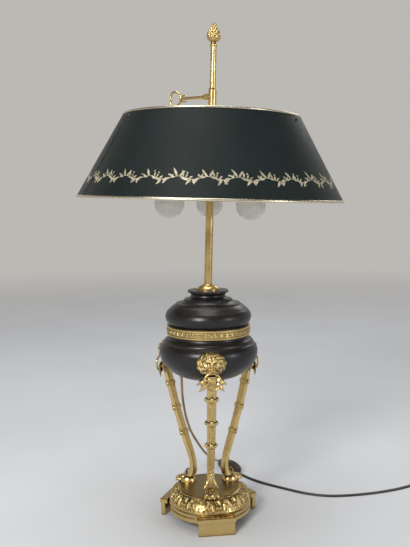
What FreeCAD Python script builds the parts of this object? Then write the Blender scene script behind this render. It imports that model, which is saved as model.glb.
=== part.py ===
import FreeCAD, Part
import math
import os
import Sketcher

# Bouillotte table lamp in gilt and patinated metal, in millimetres.
# The axis of the base is +Z, the floor is z = 0 and the front leg stands at -Y.

Vector = FreeCAD.Vector
UP = Vector(0, 0, 1)
AXIS = 0.0

# Driving dimensions: every name is one cell of the document's sheet.
SIZES = {
    # Base plate and its three block feet
    "foot_width": 56.0,
    "foot_face": 74.0,
    "foot_thickness": 6.5,
    "foot_height": 21.0,
    "foot_cap_height": 6.0,
    "foot_cap_lip": 1.5,
    "feet_turn": 5.0,
    "plinth_radius": 66.0,
    "plinth_wall": 3.5,
    "plinth_bottom": 15.0,
    "plinth_top": 30.0,
    "plinth_groove": 1.3,
    "relief_foot_radius": 64.3,
    "relief_bulge": 32.0,
    "disc_radius": 48.0,
    "disc_top": 50.0,
    "disc_thickness": 4.0,
    "disc_gap": 0.15,
    "seat_ledge": 9.0,
    # Legs: places of the hoof, hock and top in the leg's own radial plane
    "leg_top_height": 250.0,
    "leg_top_overhang": 2.4,
    "leg_top_width": 15.0,
    "leg_hock_height": 78.0,
    "leg_hock_radius": 29.6,
    "leg_hock_width": 11.6,
    "leg_depth": 9.2,
    "leg_ankle_radius": 34.0,
    "leg_ankle_height": 61.0,
    "leg_band_swell": 1.3,
    "leg_band_height": 5.5,
    "leg_ball_radius": 3.0,
    "paw_length": 29.0,
    "paw_width": 23.0,
    "paw_height": 12.5,
    "paw_centre": 41.0,
    "toe_radius": 4.6,
    "leaf_span": 38.0,
    "leaf_drop": 9.5,
    "leaf_thickness": 3.0,
    # Lion masks and their loose rings
    "mask_width": 47.0,
    "mask_height": 36.0,
    "mask_depth": 11.0,
    "mask_rise": 17.5,
    "mask_sink": 1.1,
    "mane_lobe_radius": 5.2,
    "mask_gap": 0.15,
    "muzzle_width": 12.0,
    "muzzle_height": 13.0,
    "muzzle_depth": 3.2,
    "ring_outer_radius": 14.2,
    "ring_wire_radius": 1.6,
    "ring_drop": 6.4,
    "ring_stand_off": 11.2,
    "ring_gap": 0.3,
    # Urn: lower bowl, gilt band and upper cover
    "urn_wall": 2.2,
    "bowl_radius": 77.6,
    "bowl_rise": 22.5,
    "bowl_shoulder_rise": 13.0,
    "bowl_shoulder_bend": 16.0,
    "bowl_step": 1.5,
    "bowl_cove_bend": 6.0,
    "bowl_side_bend": 32.0,
    "bowl_under_bend": 62.0,
    "bowl_side_angle": 40.0,
    "bowl_neck_step": 15.1,
    "bowl_upper_height": 27.5,
    "band_overhang": 3.4,
    "band_height": 14.5,
    "band_recess": 1.2,
    "band_lip": 2.6,
    "cover_foot_step": 0.5,
    "cover_overhang": 5.2,
    "cover_widest_rise": 15.5,
    "cover_dome_bend": 34.0,
    "cover_shoulder_step": 15.7,
    "cover_shoulder_rise": 17.0,
    "cover_ring_step": 15.0,
    "cover_ring_rise": 6.0,
    "cover_neck_step": 10.0,
    "cover_neck_rise": 8.5,
    "cover_lip_overhang": 5.0,
    "cover_lip_rise": 7.5,
    # Tie rod through the urn
    "rod_radius": 4.0,
    "rod_bore": 2.4,
    "rod_above_urn": 15.0,
    "rod_below_urn": 9.0,
    "rod_hole_gap": 0.25,
    "nut_flats": 15.0,
    "nut_height": 5.0,
    "washer_radius": 14.0,
    "washer_thickness": 2.0,
    # Stem, which leans a little on the urn
    "stem_lean": 2.0,
    "stem_lean_turn": 28.0,
    "collar_radius": 19.0,
    "collar_height": 9.0,
    "collar_gap": 0.45,
    "stem_radius": 6.2,
    "stem_bore": 5.2,
    "stem_length": 206.0,
    "stem_seat_gap": 0.35,
    # Light cluster
    "lights_turn": -3.0,
    "hub_radius": 15.0,
    "hub_height": 19.0,
    "arm_radius": 4.5,
    "arm_bend": 14.0,
    "arm_rise": 11.0,
    "arm_wall": 1.0,
    "light_distance": 70.4,
    "holder_radius": 14.0,
    "holder_drop": 18.0,
    "holder_length": 41.0,
    "holder_wall": 1.2,
    "cap_radius": 7.0,
    "cap_height": 18.0,
    "cap_drop": 12.0,
    "globe_radius": 22.5,
    "globe_drop": 23.8,
    "glass_wall": 0.9,
    # Upper rod, finial and the sliding sleeve
    "upper_rod_radius": 4.5,
    "upper_rod_length": 146.0,
    "finial_bead_radius": 5.2,
    "finial_neck_height": 7.0,
    "finial_radius": 9.6,
    "finial_bud_height": 27.5,
    "sleeve_fit": 0.08,
    "sleeve_radius": 6.2,
    "sleeve_lift": 22.5,
    "sleeve_length": 61.5,
    "sleeve_flange_radius": 11.0,
    "sleeve_flange_height": 3.0,
    # Clamp key
    "key_turn_angle": 142.0,
    "key_drop": 12.0,
    "boss_width": 7.0,
    "boss_height": 8.6,
    "boss_reach": 13.5,
    "key_thread_radius": 2.0,
    "key_hole_gap": 0.1,
    "pad_thickness": 1.0,
    "key_shoulder_gap": 0.6,
    "key_shaft_length": 46.0,
    "key_shaft_radius": 2.6,
    "key_tip_radius": 2.0,
    "bow_length": 24.0,
    "bow_width": 26.0,
    "bow_wire_radius": 1.7,
    # Shade and its spider
    "shade_rise": 14.7,
    "shade_height": 123.0,
    "shade_bottom_radius": 203.4,
    "shade_top_radius": 135.2,
    "shade_skin": 0.8,
    "shade_bottom_bead": 2.0,
    "shade_top_bead": 1.6,
    "spider_hub_radius": 16.0,
    "spider_collar_radius": 9.2,
    "spider_flange_height": 3.0,
    "spider_hub_height": 11.0,
    "spider_fit": 0.25,
    "spider_gap": 0.3,
    "spider_arm_width": 9.0,
    "spider_arm_thickness": 1.8,
    "spider_seat_gap": 0.1,
    "spider_rivet_radius": 2.2,
    "spider_tab_gap": 2.5,
    "spider_nut_height": 4.0,
    "shade_screw_radius": 1.5,
    "shade_screw_head": 2.7,
    "shade_screw_gap": 0.1,
    "shade_screw_drop": 7.0,
    # Cord and what is on it
    "braid_radius": 2.4,
    "flex_radius": 3.0,
    "bush_radius": 4.6,
    "bush_length": 26.0,
    "bush_drop": 29.0,
    "bush_gap": 0.9,
    "switch_width": 19.0,
    "switch_height": 15.5,
    "rocker_length": 12.0,
    "rocker_width": 7.0,
    "rocker_gap": 0.3,
    "coil_turns": 2.25,
    "coil_middle_radius": 33.0,
    "coil_pitch": 6.6,
    "coil_layer_rise": 6.8,
    "plug_length": 36.0,
    "plug_half_width": 15.0,
    "plug_height": 19.0,
    "plug_tail": 36.0,
    "pin_radius": 2.0,
    "pin_length": 19.0,
    "pin_spacing": 19.0,
}

# Places along the cord's route, from the bush under the bowl to the switch on the floor.
BRAID_ROUTE = [
    (-42.9, 37.3, 220.1), (-42.4, 46.0, 196.0), (-40.6, 59.0, 171.0), (-35.6, 84.0, 137.0),
    (-28.0, 113.0, 105.0), (-18.0, 145.0, 77.0), (-8.5, 176.0, 53.0), (0.5, 205.0, 31.0),
    (9.5, 223.0, 14.5), (22.8, 220.3, 7.8), (31.0, 209.0, 7.75),
]

# Places of the flex on the floor, from the switch to the coil beyond the picture's edge.
FLEX_ROUTE = [
    (65.0, 162.0), (76.0, 145.0), (91.0, 127.0), (113.0, 107.0), (140.0, 87.5), (170.0, 65.5),
    (206.0, 52.0), (247.0, 52.5), (288.0, 58.5), (330.0, 70.0), (366.0, 86.0), (392.0, 104.0),
]

document = FreeCAD.newDocument("BouillotteLamp")
sheet = document.addObject("Spreadsheet::Sheet", "Sizes")


class Size:
    """A number together with the sheet formula that gives it."""

    def __init__(self, number, formula):
        self.number = float(number)
        self.formula = formula

    def __add__(self, other):
        other = as_size(other)
        return Size(self.number + other.number, f"({self.formula} + {other.formula})")

    def __radd__(self, other):
        return as_size(other) + self

    def __sub__(self, other):
        other = as_size(other)
        return Size(self.number - other.number, f"({self.formula} - {other.formula})")

    def __rsub__(self, other):
        return as_size(other) - self

    def __mul__(self, other):
        other = as_size(other)
        return Size(self.number * other.number, f"({self.formula} * {other.formula})")

    def __rmul__(self, other):
        return as_size(other) * self

    def __truediv__(self, other):
        other = as_size(other)
        return Size(self.number / other.number, f"({self.formula} / {other.formula})")

    def __neg__(self):
        return Size(-self.number, f"(0 - {self.formula})")

    def __float__(self):
        return self.number


def as_size(thing):
    if isinstance(thing, Size):
        return thing
    return Size(thing, f"{float(thing):.6f}")


def sine(angle):
    return Size(math.sin(math.radians(angle.number)), f"sin({angle.formula})")


def cosine(angle):
    return Size(math.cos(math.radians(angle.number)), f"cos({angle.formula})")


class Named:
    """Every driving dimension as a Size, read as an attribute."""


size = Named()
for row, (alias, number) in enumerate(SIZES.items(), start=1):
    sheet.set(f"A{row}", alias)
    sheet.set(f"B{row}", str(number))
    sheet.setAlias(f"B{row}", alias)
    setattr(size, alias, Size(number, f"Sizes.{alias}"))
document.recompute()

# Sizes that follow from the driving ones: the urn stands on the legs, the stem on the urn,
# the lights on the stem, and the shade hangs from the sliding sleeve.
size.bowl_widest = size.leg_top_height + size.bowl_rise
size.bowl_top = size.bowl_widest + size.bowl_upper_height
size.bowl_neck_radius = size.bowl_radius - size.bowl_neck_step
size.leg_top_radius = size.bowl_radius + size.leg_top_overhang
size.leaf_height = size.leg_top_height - size.leaf_drop
size.mask_centre_height = size.leg_top_height + size.mask_rise
size.mask_centre_radius = size.bowl_radius - size.mask_sink
size.ring_height = size.leg_top_height - size.ring_drop
size.ring_distance = size.bowl_radius + size.ring_stand_off
size.muzzle_reach = size.ring_distance + size.muzzle_depth
size.band_radius = size.bowl_neck_radius + size.band_overhang
size.cover_foot_radius = size.bowl_neck_radius - size.cover_foot_step
size.cover_radius = size.bowl_neck_radius + size.cover_overhang
size.cover_widest = size.bowl_top + size.band_height + size.cover_widest_rise
size.cover_shoulder_radius = size.cover_radius - size.cover_shoulder_step
size.cover_shoulder = size.cover_widest + size.cover_shoulder_rise
size.cover_ring_radius = size.cover_shoulder_radius - size.cover_ring_step
size.cover_ring = size.cover_shoulder + size.cover_ring_rise
size.cover_neck_radius = size.cover_ring_radius - size.cover_neck_step
size.cover_neck = size.cover_ring + size.cover_neck_rise
size.cover_lip_radius = size.cover_neck_radius + size.cover_lip_overhang
size.cover_top = size.cover_neck + size.cover_lip_rise
size.stem_top = size.cover_top + size.stem_length
size.hub_bottom = size.stem_top
size.hub_top = size.hub_bottom + size.hub_height
size.arm_height = size.hub_bottom + size.arm_rise
size.holder_top = size.arm_height - size.holder_drop
size.holder_bottom = size.holder_top - size.holder_length
size.cap_top = size.holder_top - size.cap_drop
size.globe_height = size.holder_bottom - size.globe_drop
size.finial_bottom = size.hub_top + size.upper_rod_length
size.finial_bud_bottom = size.finial_bottom + size.finial_neck_height
size.finial_top = size.finial_bud_bottom + size.finial_bud_height
size.sleeve_bottom = size.hub_top + size.sleeve_lift
size.sleeve_top = size.sleeve_bottom + size.sleeve_length
size.key_height = size.sleeve_top - size.key_drop
size.spider_bottom = size.sleeve_bottom + size.sleeve_flange_height + size.spider_gap
size.shade_top = size.spider_bottom + size.shade_rise
size.shade_bottom = size.shade_top - size.shade_height
size.bush_bottom = size.leg_top_height - size.bush_drop

# The stem's own frame: it pivots at the collar's top and leans to one side.
STEM_PIVOT = size.cover_top + size.collar_height
stem_frame = document.addObject("Part::LocalCoordinateSystem", "stem_frame")
LEAN_AXIS = f"vector(sin({size.stem_lean_turn.formula}); cos({size.stem_lean_turn.formula}); 0)"
stem_frame.setExpression(
    "Placement",
    f"placement(vector(0; 0; {STEM_PIVOT.formula}); rotation({LEAN_AXIS}; {size.stem_lean.formula}))"
    f" * placement(vector(0; 0; 0 - {STEM_PIVOT.formula}); rotation(vector(0; 0; 1); 0))",
)
document.recompute()


def turned_placement(turn=0.0, leaned=True):
    """The placement of a piece that stands on the stem, turned about it."""
    spin = FreeCAD.Placement(Vector(0, 0, 0), FreeCAD.Rotation(UP, float(turn)))
    return stem_frame.Placement * spin if leaned else spin


def bind_placement(thing, turn=AXIS, leaned=False):
    turn = as_size(turn)
    spin = f"placement(vector(0; 0; 0); rotation(vector(0; 0; 1); {turn.formula}))"
    thing.setExpression("Placement", f"stem_frame.Placement * {spin}" if leaned else spin)


def origin_plane(body, role):
    return next(item for item in body.Origin.OriginFeatures if item.Role == role)


def flat_sketch(body, name, role, offset=None):
    sketch = body.newObject("Sketcher::SketchObject", name)
    sketch.AttachmentSupport = (origin_plane(body, role), [""])
    sketch.MapMode = "FlatFace"
    if offset is not None:
        sketch.setExpression("AttachmentOffset.Base.z", offset.formula)
        sketch.AttachmentOffset = FreeCAD.Placement(Vector(0, 0, float(offset)), FreeCAD.Rotation())
    return sketch


def arc_between(start, end, bend):
    """The short arc from start to end; a positive bend bulges to the right of the way."""
    first, last = (start, end) if bend > 0 else (end, start)
    chord = last - first
    radius = max(abs(bend), chord.Length / 2 + 1e-6)
    depth = math.sqrt(radius * radius - chord.Length ** 2 / 4)
    left = Vector(-chord.y, chord.x, 0).normalize()
    centre = (first + last) / 2 + left * depth
    begin = math.atan2(first.y - centre.y, first.x - centre.x)
    finish = math.atan2(last.y - centre.y, last.x - centre.x)
    if finish < begin:
        finish += 2 * math.pi
    return Part.ArcOfCircle(Part.Circle(centre, UP, radius), begin, finish)


def draw_outline(sketch, outline):
    """A closed outline of (across, up) or (across, up, bend) corners, bound to the sheet."""
    corners = [(as_size(corner[0]), as_size(corner[1])) for corner in outline]
    bends = [as_size(corner[2]) if len(corner) > 2 else None for corner in outline]
    points = [Vector(float(across), float(up), 0) for across, up in corners]
    count = len(points)
    for index, start in enumerate(points):
        end = points[(index + 1) % count]
        if bends[index] is None:
            sketch.addGeometry(Part.LineSegment(start, end), False)
        else:
            sketch.addGeometry(arc_between(start, end, float(bends[index])), False)
    # Arcs are stored counterclockwise, so a negative bend starts at its far end.
    backward = [bend is not None and float(bend) < 0 for bend in bends]
    starts = [2 if turned_back else 1 for turned_back in backward]
    ends = [1 if turned_back else 2 for turned_back in backward]
    for index in range(count):
        after = (index + 1) % count
        sketch.addConstraint(
            Sketcher.Constraint("Coincident", index, ends[index], after, starts[after]))
    for index, (across, up) in enumerate(corners):
        place_point(sketch, index, starts[index], "DistanceX", across, -2)
        place_point(sketch, index, starts[index], "DistanceY", up, -1)
        if bends[index] is not None:
            radius = bends[index] if float(bends[index]) > 0 else -bends[index]
            number = sketch.addConstraint(Sketcher.Constraint("Radius", index, float(radius)))
            sketch.setExpression(f"Constraints[{number}]", radius.formula)


def place_point(sketch, index, end, kind, distance, axis):
    if abs(float(distance)) < 1e-9:
        sketch.addConstraint(Sketcher.Constraint("PointOnObject", index, end, axis))
        return
    number = sketch.addConstraint(Sketcher.Constraint(kind, -1, 1, index, end, float(distance)))
    sketch.setExpression(f"Constraints[{number}]", distance.formula)


def turned(name, outline, turn=AXIS, leaned=False):
    """A piece turned on the lathe from its (radius, height) outline."""
    body = document.addObject("PartDesign::Body", name)
    sketch = flat_sketch(body, f"{name}_outline", "XZ_Plane")
    draw_outline(sketch, outline)
    turning = body.newObject("PartDesign::Revolution", f"{name}_turning")
    turning.Profile = sketch
    turning.ReferenceAxis = (sketch, ["V_Axis"])
    turning.Angle = 360.0
    sketch.Visibility = False
    bind_placement(body, turn, leaned)
    return body


def padded(body, name, outline, bottom, height, symmetric=False, role="XY_Plane"):
    """A slab of the outline, from bottom upward, added to the body."""
    sketch = flat_sketch(body, f"{name}_outline", role, bottom)
    draw_outline(sketch, outline)
    pad = body.newObject("PartDesign::Pad", name)
    pad.Profile = sketch
    pad.setExpression("Length", height.formula)
    pad.Midplane = symmetric
    return pad


def around(body, feature, count, name):
    """Copies of the feature, evenly spaced about the body's Z axis."""
    pattern = body.newObject("PartDesign::PolarPattern", name)
    pattern.Originals = [feature]
    axis = next(item for item in body.Origin.OriginFeatures if item.Role == "Z_Axis")
    pattern.Axis = (axis, [""])
    pattern.Angle = 360.0
    pattern.Occurrences = count
    body.Tip = pattern
    return pattern


def solid_feature(name, shape, placement=None):
    """A piece whose free form is set straight from the sheet's numbers."""
    feature = document.addObject("Part::Feature", name)
    feature.Shape = shape
    if placement is not None:
        feature.Placement = placement
    return feature


def rectangle(low_x, low_y, high_x, high_y):
    return [(low_x, low_y), (high_x, low_y), (high_x, high_y), (low_x, high_y)]


def hexagon(flats):
    """Corners of a hexagon on a shaft, by the distance across its flats."""
    corner = flats / 1.7320508
    return [(corner * math.cos(math.radians(60 * side)), corner * math.sin(math.radians(60 * side)))
            for side in range(6)]


# Base: turned plinth with a sloping relief band, and three hollow block feet
def make_base():
    outer = size.plinth_radius
    seat = size.disc_top - size.disc_thickness
    inner = outer - size.plinth_wall
    groove = size.plinth_groove
    mid = (size.plinth_bottom + size.plinth_top) / 2
    well = size.disc_radius + size.disc_gap
    base = turned("base_plinth", [
        (inner, size.plinth_bottom),
        (outer, size.plinth_bottom),
        (outer, mid - 2.0),
        (outer - groove, mid - 1.0),
        (outer - groove, mid + 1.6),
        (outer, mid + 2.6),
        (outer, size.plinth_top - 3.0),
        (size.relief_foot_radius, size.plinth_top - 1.2),
        (size.relief_foot_radius, size.plinth_top, size.relief_bulge),
        (well, size.disc_top - 0.4),
        (well, seat),
        (well - size.seat_ledge, seat),
        (well - size.seat_ledge, seat - size.plinth_wall),
        (well - 2.0, seat - size.plinth_wall, -size.relief_bulge),
        (inner, size.plinth_top - 1.0),
    ], turn=size.feet_turn)
    face = size.foot_face
    half = size.foot_width / 2
    plate = padded(base, "foot_plate", rectangle(
        -half, -face, half, size.foot_thickness - face), as_size(0.0), size.foot_height)
    around(base, plate, 3, "foot_plates")
    cap = padded(base, "foot_cap", rectangle(
        -(half + size.foot_cap_lip), -(face + size.foot_cap_lip),
        half + size.foot_cap_lip, size.plinth_wall - outer),
        size.foot_height, size.foot_cap_height)
    around(base, cap, 3, "foot_caps")
    step = padded(base, "foot_step", rectangle(
        -half, -face, half, size.plinth_wall - outer),
        size.foot_height + size.foot_cap_height, size.foot_cap_lip)
    around(base, step, 3, "foot_steps")

    turned("base_disc", [
        (0.0, seat), (size.disc_radius, seat), (size.disc_radius, size.disc_top), (0.0, size.disc_top),
    ])


# Legs: one casting each, with shaft, bands, spread leaves and paw
def leg_sections():
    """Places down the leg as (radius, height, width, depth), from the top to the ankle."""
    top_width = float(size.leg_top_width)
    low_width = float(size.leg_hock_width)
    depth = float(size.leg_depth)
    top = Vector(float(size.leg_top_radius), float(size.leg_top_height), 0)
    hock = Vector(float(size.leg_hock_radius), float(size.leg_hock_height), 0)
    sections = []
    for share, outward in ((0.0, 0.0), (0.22, 1.6), (0.45, 2.2), (0.68, 0.6), (0.87, -1.6), (1.0, 0.0)):
        place = top + (hock - top) * share
        width = top_width + (low_width - top_width) * share
        sections.append((place.x + outward, place.y, width, depth))
    ankle = (float(size.leg_ankle_radius), float(size.leg_ankle_height))
    sections.append((ankle[0], ankle[1], low_width * 1.25, depth * 1.35))
    return sections


def leg_wire(radius, height, width, depth, slope, swell=0.0):
    """One chamfered section across the leg, square to its slope."""
    half_width = width / 2 + swell
    half_depth = depth / 2 + swell
    cut = min(half_width, half_depth) * 0.45
    corners = [
        (half_width, half_depth - cut), (half_width - cut, half_depth),
        (cut - half_width, half_depth), (-half_width, half_depth - cut),
        (-half_width, cut - half_depth), (cut - half_width, -half_depth),
        (half_width - cut, -half_depth), (half_width, cut - half_depth),
    ]
    outward = Vector(0, -math.cos(slope), -math.sin(slope))
    centre = Vector(0, -radius, height)
    points = [centre + Vector(x, 0, 0) + outward * d for x, d in corners]
    return Part.makePolygon(points + points[:1])


def leg_place(height):
    """Radius, width and slope of the leg at a height above the hock."""
    sections = leg_sections()[:-1]
    for upper, lower in zip(sections, sections[1:]):
        if lower[1] <= height <= upper[1]:
            share = (upper[1] - height) / (upper[1] - lower[1])
            radius = upper[0] + (lower[0] - upper[0]) * share
            width = upper[2] + (lower[2] - upper[2]) * share
            slope = math.atan2(upper[0] - lower[0], upper[1] - lower[1])
            return radius, width, slope
    return sections[0][0], sections[0][2], 0.0


def ellipsoid(centre, half_x, half_y, half_z):
    ball = Part.makeSphere(1.0)
    stretch = FreeCAD.Matrix()
    stretch.scale(half_x, half_y, half_z)
    stretched = ball.transformGeometry(stretch)
    stretched.translate(centre)
    return stretched


def leg_shape():
    sections = leg_sections()
    wires = []
    for index, (radius, height, width, depth) in enumerate(sections):
        before = sections[max(index - 1, 0)]
        after = sections[min(index + 1, len(sections) - 1)]
        slope = math.atan2(before[0] - after[0], before[1] - after[1])
        if index in (0, len(sections) - 1):
            slope = 0.0
        wires.append(leg_wire(radius, height, width, depth, slope))
    shaft = Part.makeLoft(wires, True, False)
    extras = []
    top = float(size.leg_top_height)
    hock = float(size.leg_hock_height)
    for share in (0.22, 0.45, 0.68):
        height = top + (hock - top) * share
        radius, width, slope = leg_place(height)
        band = [leg_wire(radius + math.tan(slope) * lift, height + lift, width, float(size.leg_depth),
                         slope, float(size.leg_band_swell))
                for lift in (-float(size.leg_band_height) / 2, float(size.leg_band_height) / 2)]
        extras.append(Part.makeLoft(band, True, True))
        for side in (-1, 1):
            centre = Vector(side * (width / 2 + float(size.leg_band_swell)), -radius, height)
            extras.append(Part.makeSphere(float(size.leg_ball_radius), centre))
    extras.append(leaf_shape())
    floor = float(size.disc_top)
    length = float(size.paw_length)
    width = float(size.paw_width)
    tall = float(size.paw_height)
    middle = float(size.paw_centre)
    paw = ellipsoid(Vector(0, -middle, floor), width / 2, length / 2, tall)
    extras.append(paw)
    toe = float(size.toe_radius)
    spread = (width - 2 * toe) / 2
    for across, reach in ((-1.0, 0.30), (-0.36, 0.42), (0.36, 0.42), (1.0, 0.30)):
        centre = Vector(across * spread, -(middle + length * reach), floor + toe * 0.85)
        extras.append(Part.makeSphere(toe, centre))
    leg = shaft.multiFuse(extras)
    below = Part.makeBox(width, 2 * length, tall, Vector(-width / 2, -middle - length, floor - tall))
    return leg.cut(below).removeSplitter()


def leaf_shape():
    """The pair of leaves that spreads behind the ring."""
    span = float(size.leaf_span) / 2
    height = float(size.leaf_height)
    radius, width, slope = leg_place(height)
    half = width / 2 - 1.0
    back = -(radius - float(size.leaf_thickness) / 2)
    leaves = []
    for side in (-1, 1):
        tip = Vector(side * span, back, height + 1.0)
        upper = Part.Arc(Vector(side * half, back, height + 7.5),
                         Vector(side * (span * 0.66), back, height + 6.0), tip)
        lower = Part.Arc(tip, Vector(side * (span * 0.62), back, height - 3.5),
                         Vector(side * half, back, height - 8.5))
        root = Part.LineSegment(Vector(side * half, back, height - 8.5),
                                Vector(side * half, back, height + 7.5))
        face = Part.Face(Part.Wire([upper.toShape(), lower.toShape(), root.toShape()]))
        leaves.append(face.extrude(Vector(0, -float(size.leaf_thickness), 0)))
    bridge = Part.makeBox(2 * half + 1.0, float(size.leaf_thickness), 10.0,
                          Vector(-half - 0.5, back - float(size.leaf_thickness), height - 5.0))
    return bridge.multiFuse(leaves)


def bowl_envelope(gap):
    """The bowl's outside grown by a gap, for what is shaped to sit on it."""
    side = float(size.bowl_side_bend)
    under = float(size.bowl_under_bend)
    angle = math.radians(float(size.bowl_side_angle))
    widest = Vector(float(size.bowl_radius), 0, float(size.bowl_widest))
    centre = widest - Vector(side, 0, 0)
    turn = centre + Vector(side * math.cos(angle), 0, -side * math.sin(angle))
    half = centre + Vector(side * math.cos(angle / 2), 0, -side * math.sin(angle / 2))
    under_centre = turn - Vector(under * math.cos(angle), 0, -under * math.sin(angle))
    low = under_centre + Vector(0, 0, -under)
    low_middle_angle = (angle + math.pi / 2) / 2
    low_middle = under_centre + Vector(
        under * math.cos(low_middle_angle), 0, -under * math.sin(low_middle_angle))

    def out(point, middle):
        return point + (point - middle).normalize() * gap

    top = Vector(widest.x + gap, 0, float(size.bowl_top))
    edges = [
        Part.Arc(out(low, under_centre), out(low_middle, under_centre), out(turn, under_centre)),
        Part.Arc(out(turn, centre), out(half, centre), out(widest, centre)),
        Part.LineSegment(out(widest, centre), top),
        Part.LineSegment(top, Vector(0, 0, top.z)),
        Part.LineSegment(Vector(0, 0, top.z), Vector(0, 0, low.z - gap)),
        Part.LineSegment(Vector(0, 0, low.z - gap), out(low, under_centre)),
    ]
    face = Part.Face(Part.Wire([edge.toShape() for edge in edges]))
    return face.revolve(Vector(0, 0, 0), UP, 360)


def mask_shape():
    """A lion's mask with a lobed mane, pierced muzzle and a neck onto the leg."""
    centre = Vector(0, -float(size.mask_centre_radius), float(size.mask_centre_height))
    half_width = float(size.mask_width) / 2
    half_height = float(size.mask_height) / 2
    depth = float(size.mask_depth)
    lobe = float(size.mane_lobe_radius)
    face = ellipsoid(centre, half_width - lobe * 0.7, depth, half_height - lobe * 0.4)
    pieces = []
    lobes = 11
    for index in range(lobes):
        angle = math.radians(-52 + index * 284.0 / (lobes - 1))
        place = centre + Vector((half_width - lobe) * math.cos(angle), -lobe * 0.45,
                                (half_height - lobe) * math.sin(angle))
        pieces.append(Part.makeSphere(lobe, place))
    wire_height = float(size.ring_height) + float(size.ring_outer_radius) - float(size.ring_wire_radius)
    distance = float(size.ring_distance)
    reach = float(size.muzzle_reach)
    muzzle_depth = float(size.muzzle_depth)
    muzzle = ellipsoid(Vector(0, -distance, wire_height + 0.8), float(size.muzzle_width) / 2,
                       muzzle_depth, float(size.muzzle_height) / 2)
    bridge = ellipsoid(Vector(0, -(distance - 4.0), wire_height + 8.0), float(size.muzzle_width) * 0.42,
                       muzzle_depth + 2.0, float(size.muzzle_height) * 0.75)
    jaw = Part.makeBox(float(size.muzzle_width) * 0.8, distance - float(size.mask_centre_radius) + 3.0,
                       float(size.muzzle_height) * 0.7,
                       Vector(-float(size.muzzle_width) * 0.4, -distance, wire_height - 3.2))
    neck_low = float(size.leg_top_height)
    neck = Part.makeBox(float(size.leg_top_width), float(size.leg_depth) + 3.0, 12.0,
                        Vector(-float(size.leg_top_width) / 2,
                               -float(size.leg_top_radius) - float(size.leg_depth) / 2, neck_low))
    mask = face.multiFuse(pieces + [muzzle, bridge, jaw, neck])
    mask = mask.cut(bowl_envelope(float(size.mask_gap)))
    mask = mask.cut(ring_tunnel(wire_height, distance))
    below = Part.makeBox(2 * half_width, reach, half_height,
                         Vector(-half_width, -reach, neck_low - half_height))
    mask = mask.cut(below)
    solids = sorted(mask.Solids, key=lambda solid: solid.Volume)
    return solids[-1]


def ring_tunnel(wire_height, distance):
    """The waisted hole that the ring's wire swings in."""
    middle_radius = float(size.ring_outer_radius) - float(size.ring_wire_radius)
    waist = float(size.ring_wire_radius) + float(size.ring_gap)
    centre = Vector(0, -distance, wire_height)
    reach = float(size.muzzle_width)
    bore = Part.makeCylinder(float(size.muzzle_height) * 0.42, 2 * reach,
                             centre - Vector(reach, 0, 0), Vector(1, 0, 0))
    waisting = Part.makeTorus(middle_radius + waist, middle_radius, centre, Vector(1, 0, 0))
    return bore.cut(waisting)


def make_legs():
    leg = leg_shape()
    mask = mask_shape()
    for side, turn in (("front", 0.0), ("right", 120.0), ("left", -120.0)):
        solid_feature(f"leg_{side}", leg, turned_placement(turn, leaned=False))
        solid_feature(f"lion_mask_{side}", mask, turned_placement(turn, leaned=False))
        ring = document.addObject("Part::Torus", f"mouth_ring_{side}")
        ring.setExpression("Radius1", (size.ring_outer_radius - size.ring_wire_radius).formula)
        ring.setExpression("Radius2", size.ring_wire_radius.formula)
        stand = (f"placement(vector(0; 0 - {size.ring_distance.formula}; {size.ring_height.formula});"
                 f" rotation(vector(1; 0; 0); 90))")
        ring.setExpression(
            "Placement", f"placement(vector(0; 0; 0); rotation(vector(0; 0; 1); {turn})) * {stand}")


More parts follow.
